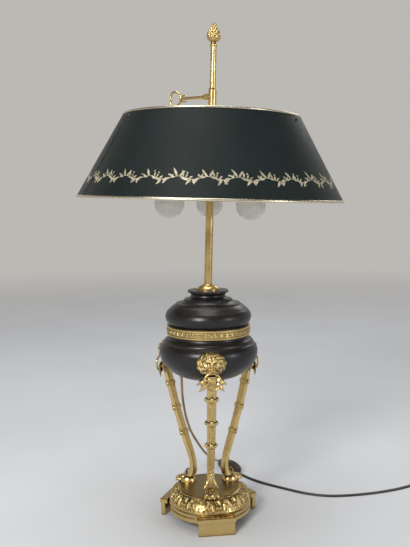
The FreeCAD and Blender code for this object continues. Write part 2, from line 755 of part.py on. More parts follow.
# Urn: spun bowl and cover, joined over a gilt band by a tie rod
def make_urn():
    wall = size.urn_wall
    hole = size.rod_radius + size.rod_hole_gap
    angle = size.bowl_side_angle
    side = size.bowl_side_bend
    under = size.bowl_under_bend
    turn_r = size.bowl_radius - side + side * cosine(angle)
    turn_z = size.bowl_widest - side * sine(angle)
    under_r = turn_r - under * cosine(angle)
    under_z = turn_z + under * sine(angle)
    inner_turn_r = turn_r - wall * cosine(angle)
    inner_turn_z = turn_z + wall * sine(angle)
    low = under_z - under
    turned("urn_bowl", [
        (hole, low),
        (under_r, low, under),
        (turn_r, turn_z, side),
        (size.bowl_radius, size.bowl_widest, size.bowl_shoulder_bend),
        (size.bowl_radius - 5.5, size.bowl_widest + size.bowl_shoulder_rise),
        (size.bowl_radius - 5.5 - size.bowl_step, size.bowl_widest + 14.0),
        (size.bowl_radius - 5.5 - size.bowl_step, size.bowl_widest + 15.5, size.bowl_cove_bend),
        (size.bowl_radius - 9.6, size.bowl_widest + 20.0),
        (size.bowl_radius - 11.4, size.bowl_widest + 20.8, -7.0),
        (size.bowl_neck_radius, size.bowl_top),
        (size.bowl_neck_radius - 2 * wall, size.bowl_top),
        (size.bowl_neck_radius - 2 * wall, size.bowl_top - 6.0),
        (size.bowl_radius - wall, size.bowl_widest + 1.0, -(side - wall)),
        (inner_turn_r, inner_turn_z, -(under - wall)),
        (under_r, low + wall),
        (hole, low + wall),
    ])
    band_top = size.bowl_top + size.band_height
    turned("urn_band", [
        (size.bowl_neck_radius - wall, size.bowl_top),
        (size.band_radius - 0.6, size.bowl_top),
        (size.band_radius, size.bowl_top + 0.7),
        (size.band_radius, size.bowl_top + size.band_lip),
        (size.band_radius - size.band_recess, size.bowl_top + size.band_lip + 0.5),
        (size.band_radius - size.band_recess, band_top - size.band_lip - 0.5),
        (size.band_radius, band_top - size.band_lip),
        (size.band_radius, band_top - 0.7),
        (size.band_radius - 0.6, band_top),
        (size.bowl_neck_radius - wall, band_top),
    ])
    foot = band_top
    turned("urn_cover", [
        (size.cover_foot_radius - 2 * wall, foot),
        (size.cover_foot_radius, foot),
        (size.cover_foot_radius, foot + 1.2, 18.0),
        (size.cover_radius, size.cover_widest, 16.0),
        (size.cover_radius - 6.5, size.cover_widest + 10.0, size.cover_dome_bend),
        (size.cover_shoulder_radius, size.cover_shoulder),
        (size.cover_shoulder_radius - 1.5, size.cover_shoulder + 1.8, -14.0),
        (size.cover_ring_radius + 1.5, size.cover_ring),
        (size.cover_ring_radius + 1.5, size.cover_ring + 1.2),
        (size.cover_ring_radius, size.cover_ring + 1.2),
        (size.cover_ring_radius, size.cover_ring + 2.6),
        (size.cover_ring_radius - 5.0, size.cover_ring + 3.6, -6.0),
        (size.cover_neck_radius, size.cover_neck, -5.0),
        (size.cover_lip_radius, size.cover_top - 3.2),
        (size.cover_lip_radius, size.cover_top - 0.6),
        (size.cover_lip_radius - 0.6, size.cover_top),
        (hole, size.cover_top),
        (hole, size.cover_top - wall),
        (size.cover_neck_radius - wall, size.cover_top - wall),
        (size.cover_neck_radius - wall, size.cover_ring),
        (size.cover_shoulder_radius - wall, size.cover_shoulder - wall, -(size.cover_dome_bend - wall)),
        (size.cover_radius - 6.5 - wall, size.cover_widest + 9.0 - wall),
        (size.cover_radius - wall, size.cover_widest),
        (size.cover_foot_radius - 2 * wall, foot + 3.0),
    ])
    washer_bottom = low - size.washer_thickness
    turned("urn_washer", [
        (hole, washer_bottom), (size.washer_radius, washer_bottom),
        (size.washer_radius, low), (hole, low),
    ])
    nut = document.addObject("PartDesign::Body", "urn_nut")
    padded(nut, "nut_slab", hexagon(size.nut_flats), washer_bottom - size.nut_height, size.nut_height)
    bore = flat_sketch(nut, "nut_bore_outline", "XY_Plane", washer_bottom)
    bore.addGeometry(Part.Circle(Vector(0, 0, 0), UP, float(size.rod_radius + size.rod_hole_gap)), False)
    bore.addConstraint(Sketcher.Constraint("Coincident", 0, 3, -1, 1))
    number = bore.addConstraint(
        Sketcher.Constraint("Radius", 0, float(size.rod_radius + size.rod_hole_gap)))
    bore.setExpression(f"Constraints[{number}]", (size.rod_radius + size.rod_hole_gap).formula)
    pocket = nut.newObject("PartDesign::Pocket", "nut_bore")
    pocket.Profile = bore
    pocket.setExpression("Length", size.nut_height.formula)
    turned("tie_rod", [
        (size.rod_bore, low - size.rod_below_urn),
        (size.rod_radius, low - size.rod_below_urn),
        (size.rod_radius, size.cover_top + size.rod_above_urn),
        (size.rod_bore, size.cover_top + size.rod_above_urn),
    ])


# Stem: collar, tube and upper rod, which carry the lights and the sliding sleeve
def make_stem():
    collar_bore = size.stem_radius + size.collar_gap
    top = size.cover_top + size.collar_height
    turned("stem_collar", [
        (collar_bore, size.cover_top),
        (size.collar_radius, size.cover_top),
        (size.collar_radius, size.cover_top + 2.2),
        (size.collar_radius - 2.0, size.cover_top + 3.0, 16.0),
        (collar_bore + 2.4, top - 1.0),
        (collar_bore + 1.4, top),
        (collar_bore, top),
    ])
    turned("stem_tube", [
        (size.stem_bore, size.cover_top + size.stem_seat_gap),
        (size.stem_radius, size.cover_top + size.stem_seat_gap),
        (size.stem_radius, size.stem_top),
        (size.stem_bore, size.stem_top),
    ], leaned=True)
    hub_top = size.hub_top
    turned("light_hub", [
        (0.0, size.hub_bottom),
        (size.hub_radius - 5.0, size.hub_bottom),
        (size.hub_radius, size.hub_bottom + 4.0),
        (size.hub_radius, hub_top - 4.0),
        (size.hub_radius - 5.0, hub_top),
        (0.0, hub_top),
    ], leaned=True)
    turned("upper_rod", [
        (0.0, hub_top), (size.upper_rod_radius, hub_top),
        (size.upper_rod_radius, size.finial_bottom), (0.0, size.finial_bottom),
    ], leaned=True)
    bud = size.finial_bud_bottom
    turned("finial", [
        (0.0, size.finial_bottom),
        (size.upper_rod_radius + 0.4, size.finial_bottom, size.finial_bead_radius * 0.6),
        (size.upper_rod_radius, size.finial_bottom + 4.4),
        (size.upper_rod_radius - 0.6, bud, 6.0),
        (size.finial_radius, bud + 8.0, 22.0),
        (size.finial_radius - 4.6, bud + 19.5, 26.0),
        (0.8, size.finial_top - 0.7),
        (0.0, size.finial_top),
    ], leaned=True)
    bore = size.upper_rod_radius + size.sleeve_fit
    turned("shade_sleeve", [
        (bore, size.sleeve_bottom),
        (size.sleeve_flange_radius, size.sleeve_bottom),
        (size.sleeve_flange_radius, size.sleeve_bottom + size.sleeve_flange_height),
        (size.sleeve_radius, size.sleeve_bottom + size.sleeve_flange_height),
        (size.sleeve_radius, size.sleeve_top - 1.6),
        (size.sleeve_radius - 0.8, size.sleeve_top),
        (bore, size.sleeve_top),
    ], turn=size.key_turn_angle, leaned=True)


def swept_tube(path, radius, bore=0.0):
    """A round tube along a wire, with its ends square to the wire."""
    start = path.OrderedEdges[0]
    first = start.ParameterRange[0] if start.Orientation == "Forward" else start.ParameterRange[1]
    place = start.valueAt(first)
    along = start.tangentAt(first)
    ring = Part.Wire(Part.Circle(place, along, radius).toShape())
    tube = path.makePipeShell([ring], True, False)
    if bore > 0.0:
        inner = Part.Wire(Part.Circle(place, along, bore).toShape())
        tube = tube.cut(path.makePipeShell([inner], True, False))
    return tube


def rounded_path(points):
    """Straight runs joined by the largest tangent arcs that they allow, and the arcs' radii."""
    edges = []
    radii = []
    last = points[0]
    for before, corner, after in zip(points, points[1:], points[2:]):
        into = (corner - before).normalize()
        out = (after - corner).normalize()
        half_turn = into.getAngle(out) / 2
        trim = 0.45 * min((corner - before).Length, (after - corner).Length)
        radii.append(trim / math.tan(half_turn))
        start = corner - into * trim
        end = corner + out * trim
        inward = ((start + end) / 2 - corner).normalize()
        depth = radii[-1] / math.cos(half_turn) - radii[-1]
        edges.append(Part.LineSegment(last, start).toShape())
        edges.append(Part.Arc(start, corner + inward * depth, end).toShape())
        last = end
    edges.append(Part.LineSegment(last, points[-1]).toShape())
    return Part.Wire(edges), radii


# Lights: three bent arms, holders and globe bulbs that hang down
def make_lights():
    far = float(size.light_distance)
    start = float(size.hub_radius)
    high = float(size.arm_height)
    bend = float(size.arm_bend)
    low = float(size.holder_top)
    corner = Vector(far, 0, high)
    slant = math.sqrt(0.5)
    path = Part.Wire([
        Part.LineSegment(Vector(start, 0, high), corner - Vector(bend, 0, 0)).toShape(),
        Part.Arc(corner - Vector(bend, 0, 0), Vector(far - bend + bend * slant, 0, high - bend + bend * slant),
                 corner - Vector(0, 0, bend)).toShape(),
        Part.LineSegment(corner - Vector(0, 0, bend), Vector(far, 0, low)).toShape(),
    ])
    arm = swept_tube(path, float(size.arm_radius), float(size.arm_radius) - float(size.arm_wall))
    for side, angle in (("left", -150.0), ("right", -30.0), ("back", 90.0)):
        turn = as_size(angle) + size.lights_turn
        solid_feature(f"light_arm_{side}", arm, turned_placement(turn))
        hung_pieces(side, turn)


def hung_pieces(side, turn):
    wall = size.holder_wall
    hold = size.holder_radius
    stand = (f"stem_frame.Placement * placement(vector(0; 0; 0); rotation(vector(0; 0; 1); {turn.formula}))"
             f" * placement(vector({size.light_distance.formula}; 0; 0); rotation(vector(0; 0; 1); 0))")
    holder = turned(f"bulb_holder_{side}", [
        (size.arm_radius - size.arm_wall, size.holder_top - 2 * wall),
        (size.arm_radius - size.arm_wall, size.holder_top),
        (hold - 5.0, size.holder_top, 5.0),
        (hold, size.holder_top - 5.0),
        (hold, size.holder_bottom + 3.0),
        (hold + 1.2, size.holder_bottom + 2.0),
        (hold + 1.2, size.holder_bottom),
        (hold - wall, size.holder_bottom),
        (hold - wall, size.holder_top - 7.0),
        (size.cap_radius + 0.3, size.holder_top - 7.0),
        (size.cap_radius + 0.3, size.holder_top - 2 * wall),
    ])
    cap_bottom = size.cap_top - size.cap_height
    cap = turned(f"bulb_cap_{side}", [
        (0.0, cap_bottom),
        (size.cap_radius, cap_bottom),
        (size.cap_radius, size.cap_top - 2.0),
        (size.cap_radius - 3.0, size.cap_top),
        (size.cap_radius - 3.0, size.holder_top - 2 * wall - 0.3),
        (0.0, size.holder_top - 2 * wall - 0.3),
    ])
    globe = size.globe_radius
    neck_angle = 62.0
    neck_r = globe * math.cos(math.radians(neck_angle))
    neck_z = size.globe_height + globe * math.sin(math.radians(neck_angle))
    inner = globe - size.glass_wall
    inner_r = inner * math.cos(math.radians(neck_angle))
    inner_z = size.globe_height + inner * math.sin(math.radians(neck_angle))
    bulb = turned(f"bulb_{side}", [
        (0.0, size.globe_height - globe, globe),
        (globe, size.globe_height, globe),
        (neck_r, neck_z, -26.0),
        (size.cap_radius, cap_bottom),
        (size.cap_radius - size.glass_wall, cap_bottom, 26.0),
        (inner_r, inner_z, -inner),
        (inner, size.globe_height, -inner),
        (0.0, size.globe_height - inner),
    ])
    for piece in (holder, cap, bulb):
        piece.setExpression("Placement", stand)


# Clamp key: a square boss on the sleeve, a screw with an open bow and its pressure pad
def make_key():
    height = float(size.key_height)
    reach = float(size.boss_reach)
    hole = float(size.key_thread_radius) + float(size.key_hole_gap)
    rod_side = float(size.upper_rod_radius) + float(size.sleeve_fit)
    sleeve = document.getObject("shade_sleeve")
    half = size.boss_width / 2
    boss_outline = rectangle(-half, size.key_height - size.boss_height / 2,
                             half, size.key_height + size.boss_height / 2)
    start = size.upper_rod_radius + 1.0
    padded(sleeve, "key_boss", boss_outline, start, size.boss_reach - start, role="YZ_Plane")
    bore = flat_sketch(sleeve, "key_bore_outline", "YZ_Plane", size.boss_reach)
    bore.addGeometry(Part.Circle(Vector(0, height, 0), UP, hole), False)
    bore.addConstraint(Sketcher.Constraint("PointOnObject", 0, 3, -2))
    number = bore.addConstraint(Sketcher.Constraint("DistanceY", -1, 1, 0, 3, height))
    bore.setExpression(f"Constraints[{number}]", size.key_height.formula)
    number = bore.addConstraint(Sketcher.Constraint("Radius", 0, hole))
    bore.setExpression(f"Constraints[{number}]", (size.key_thread_radius + size.key_hole_gap).formula)
    pocket = sleeve.newObject("PartDesign::Pocket", "key_bore")
    pocket.Profile = bore
    pocket.setExpression("Length", (size.boss_reach - size.upper_rod_radius).formula)

    out = Vector(1, 0, 0)
    pad_face = rod_side
    pad = Part.makeCylinder(float(size.key_thread_radius), float(size.pad_thickness),
                            Vector(pad_face, 0, height), out)
    place = turned_placement(size.key_turn_angle)
    solid_feature("clamp_pad", pad, place)
    thread_start = pad_face + float(size.pad_thickness)
    shoulder = reach + float(size.key_shoulder_gap)
    shaft_end = shoulder + float(size.key_shaft_length)
    thread = Part.makeCylinder(float(size.key_thread_radius), shoulder - thread_start,
                               Vector(thread_start, 0, height), out)
    shaft = Part.makeCone(float(size.key_shaft_radius), float(size.key_tip_radius),
                          float(size.key_shaft_length), Vector(shoulder, 0, height), out)
    collar = Part.makeCylinder(float(size.key_shaft_radius) + 0.9, 2.2, Vector(shoulder, 0, height), out)
    key = thread.multiFuse([shaft, collar, bow_shape(shaft_end, height)])
    solid_feature("clamp_key", key.removeSplitter(), place)


def bow_shape(start, height):
    """The key's open heart: two lobes with a dip at the far end."""
    half = float(size.bow_width) / 2 - float(size.bow_wire_radius)
    wire = float(size.bow_wire_radius)
    root = start - 0.6
    crest = root + float(size.bow_length) * 0.56
    dip = root + float(size.bow_length) * 0.80
    lobes = [Part.makeSphere(wire, Vector(root, 0, height)), Part.makeSphere(wire, Vector(dip, 0, height))]
    for side in (-1, 1):
        arcs = []
        for end in (root, dip):
            reach = crest - end
            bend = (reach * reach + half * half) / (2 * half)
            centre = Vector(crest, 0, height + side * (half - bend))
            top = Vector(crest, 0, height + side * half)
            foot = Vector(end, 0, height)
            between = centre + ((top - centre) + (foot - centre)).normalize() * bend
            arcs.append((foot, between, top) if end == root else (top, between, foot))
        path = Part.Wire([Part.Arc(*arc).toShape() for arc in arcs])
        first = path.Edges[0]
        along = first.tangentAt(first.FirstParameter)
        ring = Part.Wire(Part.Circle(arcs[0][0], along, wire).toShape())
        lobes.append(path.makePipeShell([ring], True, False))
    return lobes[0].multiFuse(lobes[1:])


# Shade: a rolled cone with beaded rims, on a spider that turns about the sleeve
def make_shade():
    bottom = size.shade_bottom
    top = size.shade_bottom + size.shade_height
    low_r = size.shade_bottom_radius
    high_r = size.shade_top_radius
    fall = (float(low_r) - float(high_r)) / float(size.shade_height)
    slant = math.sqrt(1 + fall * fall)
    across = size.shade_skin * slant
    low_edge = bottom + size.shade_bottom_bead
    high_edge = top - size.shade_top_bead
    low_edge_r = low_r - size.shade_bottom_bead * fall
    high_edge_r = high_r + size.shade_top_bead * fall
    skin = turned("shade", [
        (low_edge_r, low_edge), (high_edge_r, high_edge),
        (high_edge_r - across, high_edge), (low_edge_r - across, low_edge),
    ], turn=size.lights_turn, leaned=True)
    turned("shade_top_bead", bead_outline(high_r - across / 2, top, size.shade_top_bead), leaned=True)
    turned("shade_bottom_bead", bead_outline(low_r - across / 2, bottom, size.shade_bottom_bead), leaned=True)

    bind_placement(skin, size.lights_turn + 90.0, leaned=True)
    screw_height = top - size.shade_screw_drop
    normal = Vector(1, 0, fall).normalize()
    centre = Vector(float(low_r) - (float(screw_height) - float(bottom)) * fall, 0, float(screw_height))
    pierce(skin, centre, normal, "shade_hole")
    make_spider(centre, normal, fall)


def make_spider(centre, normal, fall):
    """The hub that turns on the sleeve, its three riveted arms and the screws into the shade."""
    hub_bottom = size.spider_bottom
    hub_top = hub_bottom + size.spider_hub_height
    bore = size.sleeve_radius + size.spider_fit
    flange_top = hub_bottom + size.spider_flange_height
    turned("spider_hub", [
        (bore, hub_bottom), (size.spider_hub_radius, hub_bottom),
        (size.spider_hub_radius, flange_top),
        (size.spider_collar_radius, flange_top),
        (size.spider_collar_radius, hub_top), (bore, hub_top),
    ], turn=size.lights_turn, leaned=True)
    nut_low = hub_top + size.spider_gap
    nut_bore = size.sleeve_radius + size.sleeve_fit
    nut_radius = size.spider_collar_radius + 0.8
    turned("spider_nut", [
        (nut_bore, nut_low), (nut_radius, nut_low),
        (nut_radius, nut_low + size.spider_nut_height), (nut_bore, nut_low + size.spider_nut_height),
    ], turn=size.lights_turn, leaned=True)

    slant = math.sqrt(1 + fall * fall)
    thick = float(size.spider_arm_thickness)
    wide = float(size.spider_arm_width)
    arm_low = float(flange_top)
    arm_high = arm_low + thick
    tab_top = float(size.shade_top) - float(size.spider_tab_gap)
    inside = (float(size.shade_skin) + float(size.spider_seat_gap)) * slant

    def skin_at(height):
        return centre.x - (height - centre.z) * fall - inside

    inner = float(size.spider_collar_radius) + float(size.spider_seat_gap)
    outline = [
        (inner, arm_low), (skin_at(arm_low), arm_low), (skin_at(tab_top), tab_top),
        (skin_at(tab_top) - thick * slant, tab_top),
        (skin_at(arm_high) - thick * slant, arm_high), (inner, arm_high),
    ]
    corners = [Vector(x, -wide / 2, z) for x, z in outline]
    arm = Part.Face(Part.makePolygon(corners + corners[:1])).extrude(Vector(0, wide, 0))
    rivet_place = Vector((inner + float(size.spider_hub_radius)) / 2, 0, arm_high)
    rivet = Part.makeSphere(float(size.spider_rivet_radius), rivet_place)
    arm = arm.fuse(rivet.cut(Part.makeBox(wide, wide, wide, rivet_place - Vector(wide / 2, wide / 2, wide))))
    hole = Part.makeCylinder(float(size.shade_screw_radius) + float(size.shade_screw_gap), 4 * thick,
                             centre - normal * (3 * thick), normal)
    arm = arm.cut(hole).removeSplitter()

    head = Part.makeSphere(float(size.shade_screw_head) * 1.15, centre - normal * 1.3)
    seat = centre + normal * float(size.shade_screw_gap)
    head = head.common(Part.makeCylinder(float(size.shade_screw_head) * 2, 10.0, seat, normal))
    shank_length = float(size.shade_skin) + float(size.spider_seat_gap) + thick + 1.5
    screw = head.fuse(Part.makeCylinder(float(size.shade_screw_radius), shank_length, seat, normal * -1))
    turns = [float(size.lights_turn) + 90.0 + 120.0 * index for index in range(3)]
    for name, piece in (("spider_arms", arm), ("shade_screws", screw)):
        group = [piece.rotated(Vector(0, 0, 0), UP, turn) for turn in turns]
        solid_feature(name, Part.makeCompound(group), turned_placement())


def pierce(body, centre, normal, name):
    """Three screw holes square to the shade's slope, bored by a sloping sketch."""
    hole = float(size.shade_screw_radius) + float(size.shade_screw_gap)
    sketch = body.newObject("Sketcher::SketchObject", f"{name}_outline")
    sketch.AttachmentSupport = (origin_plane(body, "XY_Plane"), [""])
    sketch.MapMode = "FlatFace"
    tilt = FreeCAD.Rotation(UP, normal)
    sketch.AttachmentOffset = FreeCAD.Placement(centre + normal * 3.0, tilt)
    sketch.addGeometry(Part.Circle(Vector(0, 0, 0), UP, hole), False)
    sketch.addConstraint(Sketcher.Constraint("Coincident", 0, 3, -1, 1))
    number = sketch.addConstraint(Sketcher.Constraint("Radius", 0, hole))
    sketch.setExpression(f"Constraints[{number}]", (size.shade_screw_radius + size.shade_screw_gap).formula)
    pocket = body.newObject("PartDesign::Pocket", name)
    pocket.Profile = sketch
    pocket.Length = 9.0
    around(body, pocket, 3, f"{name}s")


def bead_outline(radius, height, bead):
    """A round bead as two half circles."""
    return [(radius, height - bead, bead), (radius, height + bead, bead)]


# Cord: braid from the urn, a switch in it, flat flex on the floor, coil and plug
def make_cord():
    first = Vector(*BRAID_ROUTE[0])
    end = Vector(*BRAID_ROUTE[-1])
    exit_point = Vector(first.x, first.y, float(size.bush_bottom))
    stretch = (exit_point.z - float(size.bush_gap) - end.z) / (first.z - end.z)
    bush_radius = float(size.bush_radius)
    bush = Part.makeCone(bush_radius * 0.72, bush_radius, float(size.bush_length),
                         exit_point, UP)
    bowl = bowl_envelope(0.0)
    bush = bush.cut(bowl)
    collar = Part.makeCylinder(bush_radius + 1.6, 14.0, exit_point + Vector(0, 0, 2.0), UP)
    rim = collar.common(bowl_envelope(1.6)).cut(bowl)
    bush = bush.fuse(rim)
    solids = sorted(bush.Solids, key=lambda solid: solid.Volume)
    solid_feature("cord_bush", solids[-1])

    braid_path, braid_radii = rounded_path(
        [Vector(x, y, end.z + (z - end.z) * stretch) for x, y, z in BRAID_ROUTE])
    braid = swept_tube(braid_path, float(size.braid_radius))
    solid_feature("braided_cord", braid)
    report_tube("braided_cord", braid, braid_path, float(size.braid_radius), braid_radii)

    flex_z = float(size.flex_radius)
    flex_points = [Vector(x, y, flex_z) for x, y in FLEX_ROUTE]
    switch_axis = (flex_points[0] - end)
    switch_axis.z = 0
    switch_axis.normalize()
    make_switch(end, flex_points[0], switch_axis)

    flex_path, flex_radii = rounded_path(flex_points)
    flex = swept_tube(flex_path, flex_z)
    solid_feature("floor_flex", flex)
    report_tube("floor_flex", flex, flex_path, flex_z, flex_radii)
    heading = (flex_points[-1] - flex_points[-2]).normalize()
    make_coil(flex_points[-1], heading)


def report_tube(name, tube, path, radius, radii):
    expected = math.pi * radius * radius * path.Length
    print(f"{name}: length {path.Length:.1f}, least arc radius {min(radii):.1f},"
          f" volume share {tube.Volume / expected:.4f}")


def make_switch(start, end, along):
    """An oval two-part switch housing with a rocker let into its top."""
    length = (end - start).Length
    half = length / 2
    width = float(size.switch_width)
    height = float(size.switch_height)
    across = Vector(0, 0, 1).cross(along)
    rotation = FreeCAD.Rotation(along, across, UP, "XYZ")
    place = FreeCAD.Placement(Vector((start.x + end.x) / 2, (start.y + end.y) / 2, 0), rotation)
    outline = []
    for side in (-1, 1):
        outline.append(Part.Arc(Vector(side * -half, side * 4.0, 0), Vector(0, side * width / 2, 0),
                                Vector(side * half, side * 4.0, 0)).toShape())
        outline.append(Part.LineSegment(Vector(side * half, side * 4.0, 0),
                                        Vector(side * half, side * -4.0, 0)).toShape())
    plan = Part.Face(Part.Wire(outline))
    lift = 0.2
    body = plan.extrude(Vector(0, 0, height))
    body.translate(Vector(0, 0, lift))
    crown = []
    for side in (-1, 1):
        crown.append(Part.Arc(Vector(side * -half, 0, height / 2 + lift + side * 4.2),
                              Vector(0, 0, height / 2 + lift + side * height / 2),
                              Vector(side * half, 0, height / 2 + lift + side * 4.2)).toShape())
        crown.append(Part.LineSegment(Vector(side * half, 0, height / 2 + lift + side * 4.2),
                                      Vector(side * half, 0, height / 2 + lift - side * 4.2)).toShape())
    profile = Part.Face(Part.Wire(crown)).extrude(Vector(0, width, 0))
    profile.translate(Vector(0, -width / 2, 0))
    shell = body.common(profile)
    split = height / 2 + lift
    slot_half = float(size.rocker_length) / 2 + float(size.rocker_gap)
    slot_wide = float(size.rocker_width) / 2 + float(size.rocker_gap)
    slot = Part.makeBox(2 * slot_half, 2 * slot_wide, height, Vector(-slot_half, -slot_wide, split - 1.0))
    lower = shell.common(Part.makeBox(2 * length, 2 * width, split, Vector(-length, -width, 0)))
    upper = shell.common(Part.makeBox(2 * length, 2 * width, height, Vector(-length, -width, split)))
    solid_feature("switch_base", lower.cut(slot), place)
    solid_feature("switch_cover", upper.cut(slot), place)
    rocker_low = split + 1.2
    radius = float(size.rocker_length) * 0.62
    pivot = Vector(0, 0, rocker_low + 1.8)
    drum = Part.makeCylinder(radius, float(size.rocker_width),
                             pivot + Vector(0, -float(size.rocker_width) / 2, 0), Vector(0, 1, 0))
    block = Part.makeBox(float(size.rocker_length) - 1.0, float(size.rocker_width),
                         split + height / 2 + 1.2 - rocker_low,
                         Vector(-float(size.rocker_length) / 2 + 0.5, -float(size.rocker_width) / 2, rocker_low))
    solid_feature("switch_rocker", block.common(drum), place)
    print("switch rocker pivot", place.multVec(pivot), "axis", across)


def coil_point(centre, heading, angle, turns):
    """The coil's radius and height at an angle: in on the floor, up, and out again."""
    pitch = float(size.coil_pitch)
    inner = float(size.coil_middle_radius) - pitch * turns / 2
    climb_start = turns * 360.0
    if angle <= climb_start:
        radius = inner + pitch * (climb_start - angle) / 360.0
        lift = 0.0
    elif angle <= climb_start + 180.0:
        share = (angle - climb_start) / 180.0
        radius = inner - pitch / 4 * math.sin(math.pi * share) ** 2
        lift = float(size.coil_layer_rise) * (3 * share ** 2 - 2 * share ** 3)
    else:
        radius = inner + pitch * (angle - climb_start - 180.0) / 360.0
        lift = float(size.coil_layer_rise)
    facing = heading - math.radians(angle)
    return centre + Vector(radius * math.cos(facing), radius * math.sin(facing), lift)


def biarc(start, start_way, end, end_way):
    """Two tangent arcs from start to end with the given directions."""
    gap = end - start
    ways = start_way + end_way
    a = 2 * (1 - start_way.dot(end_way))
    b = 2 * gap.dot(ways)
    c = -gap.dot(gap)
    reach = -c / b if abs(a) < 1e-9 else (-b + math.sqrt(b * b - 4 * a * c)) / (2 * a)
    first = start + start_way * reach
    second = end - end_way * reach
    joint = (first + second) / 2
    edges = []
    for low, corner, high in ((start, first, joint), (joint, second, end)):
        chord = high - low
        weight = math.cos((corner - low).getAngle(chord))
        middle = (low + corner * 2 * weight + high) / (2 + 2 * weight)
        edges.append(Part.Arc(low, middle, high).toShape())
    return edges


def make_coil(start, heading):
    """The rest of the flex, wound in two flat layers, with the plug beside it."""
    turns = float(size.coil_turns)
    radius = float(size.flex_radius)
    outer = float(size.coil_middle_radius) + float(size.coil_pitch) * turns / 2
    right = Vector(heading.y, -heading.x, 0)
    centre = start + heading * 2 * radius + right * outer
    facing = math.atan2(-right.y, -right.x)
    total = 2 * turns * 360.0 + 180.0
    step = 90.0
    samples = int(round(total / step))
    nudge = 0.01

    def at(angle):
        return coil_point(centre, facing, angle, turns)

    def way(index):
        if index == 0:
            return Vector(heading)
        angle = index * step
        return (at(angle + nudge) - at(angle - nudge)).normalize()

    edges = [Part.LineSegment(start, at(0.0)).toShape()]
    for index in range(samples):
        edges += biarc(at(index * step), way(index), at((index + 1) * step), way(index + 1))
    last = at(total)
    leave = way(samples)
    tail = last + leave * float(size.plug_tail)
    edges.append(Part.LineSegment(last, tail).toShape())
    path = Part.Wire(edges)
    coil = swept_tube(path, radius)
    solid_feature("flex_coil", coil)
    points = path.discretize(Distance=2.0)
    gap = least_gap(points, radius)
    print(f"flex_coil: length {path.Length:.1f}, least gap to itself {gap:.2f},"
          f" volume share {coil.Volume / (math.pi * radius ** 2 * path.Length):.4f}")
    make_plug(tail, leave)


def least_gap(points, radius):
    """The least free distance between stretches of the coil over a quarter turn apart."""
    skip = int(float(size.coil_middle_radius) * 0.8 / 2.0) + 6
    least = 1e9
    for index, point in enumerate(points):
        for other in points[index + skip:]:
            least = min(least, point.distanceToPoint(other))
    return least - 2 * radius


def make_plug(start, along):
    """A round-backed two-pin plug at the end of the flex, lying at the coil's upper layer."""
    length = float(size.plug_length)
    wide = float(size.plug_half_width)
    tall = float(size.plug_height)
    rotation = FreeCAD.Rotation(along, UP.cross(along), UP, "XYZ")
    place = FreeCAD.Placement(start, rotation)
    neck = float(size.flex_radius) + 1.5
    outline = [
        Part.LineSegment(Vector(0, -neck, 0), Vector(length * 0.3, -neck - 1.0, 0)).toShape(),
        Part.LineSegment(Vector(length * 0.3, -neck - 1.0, 0), Vector(length * 0.62, -wide, 0)).toShape(),
        Part.LineSegment(Vector(length * 0.62, -wide, 0), Vector(length, -wide, 0)).toShape(),
        Part.LineSegment(Vector(length, -wide, 0), Vector(length, wide, 0)).toShape(),
        Part.LineSegment(Vector(length, wide, 0), Vector(length * 0.62, wide, 0)).toShape(),
        Part.LineSegment(Vector(length * 0.62, wide, 0), Vector(length * 0.3, neck + 1.0, 0)).toShape(),
        Part.LineSegment(Vector(length * 0.3, neck + 1.0, 0), Vector(0, neck, 0)).toShape(),
        Part.LineSegment(Vector(0, neck, 0), Vector(0, -neck, 0)).toShape(),
    ]
    body = Part.Face(Part.Wire(outline)).extrude(Vector(0, 0, tall))
    body.translate(Vector(0, 0, -tall / 2))
    upright = [edge for edge in body.Edges
               if abs(edge.tangentAt(edge.FirstParameter).z) > 0.99 and edge.Vertexes[0].Point.x > length * 0.4]
    solid_feature("plug_body", body.makeFillet(3.0, upright), place)
    pins = []
    for side in (-1, 1):
        base = Vector(length, side * float(size.pin_spacing) / 2, 0)
        pins.append(Part.makeCylinder(float(size.pin_radius), float(size.pin_length), base, Vector(1, 0, 0)))
    solid_feature("plug_pins", Part.makeCompound(pins), place)
    for side in (-1, 1):
        base = place.multVec(Vector(length, side * float(size.pin_spacing) / 2, 0))
        print(f"plug pin starts at {base.x:.3f}, {base.y:.3f}, {base.z:.3f}, along {along.x:.5f}, {along.y:.5f}")


def check_and_export():
    """Stop on any failed feature, then write one file for each piece."""
    document.recompute()
    for item in document.Objects:
        if "Invalid" in item.State or "Error" in item.State:
            raise RuntimeError(f"{item.Name} failed: {item.State}")
    os.makedirs("parts", exist_ok=True)
    pieces = [item for item in document.Objects
              if item.isDerivedFrom("PartDesign::Body")
              or item.TypeId in ("Part::Feature", "Part::Torus")]
    for piece in pieces:
        shape = piece.Shape
        if shape.isNull() or not shape.isValid() or not shape.Solids:
            raise RuntimeError(f"{piece.Label} has no valid solid")
        if len(shape.Solids) > 1 and not piece.Label.endswith(("screws", "pins", "arms")):
            raise RuntimeError(f"{piece.Label} came out in {len(shape.Solids)} solids")
        shape.exportStep(f"parts/{piece.Label}.step")
        print(f"{piece.Label}: {shape.Volume:.0f} cubic mm, {len(shape.Faces)} faces")


make_base()
make_legs()
make_urn()
make_stem()
make_lights()
make_key()
make_shade()
make_cord()
check_and_export()
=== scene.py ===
"""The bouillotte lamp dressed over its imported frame. Lengths are in metres."""

import math
import random

import bpy
from mathutils import Matrix, Vector
from mathutils.bvhtree import BVHTree


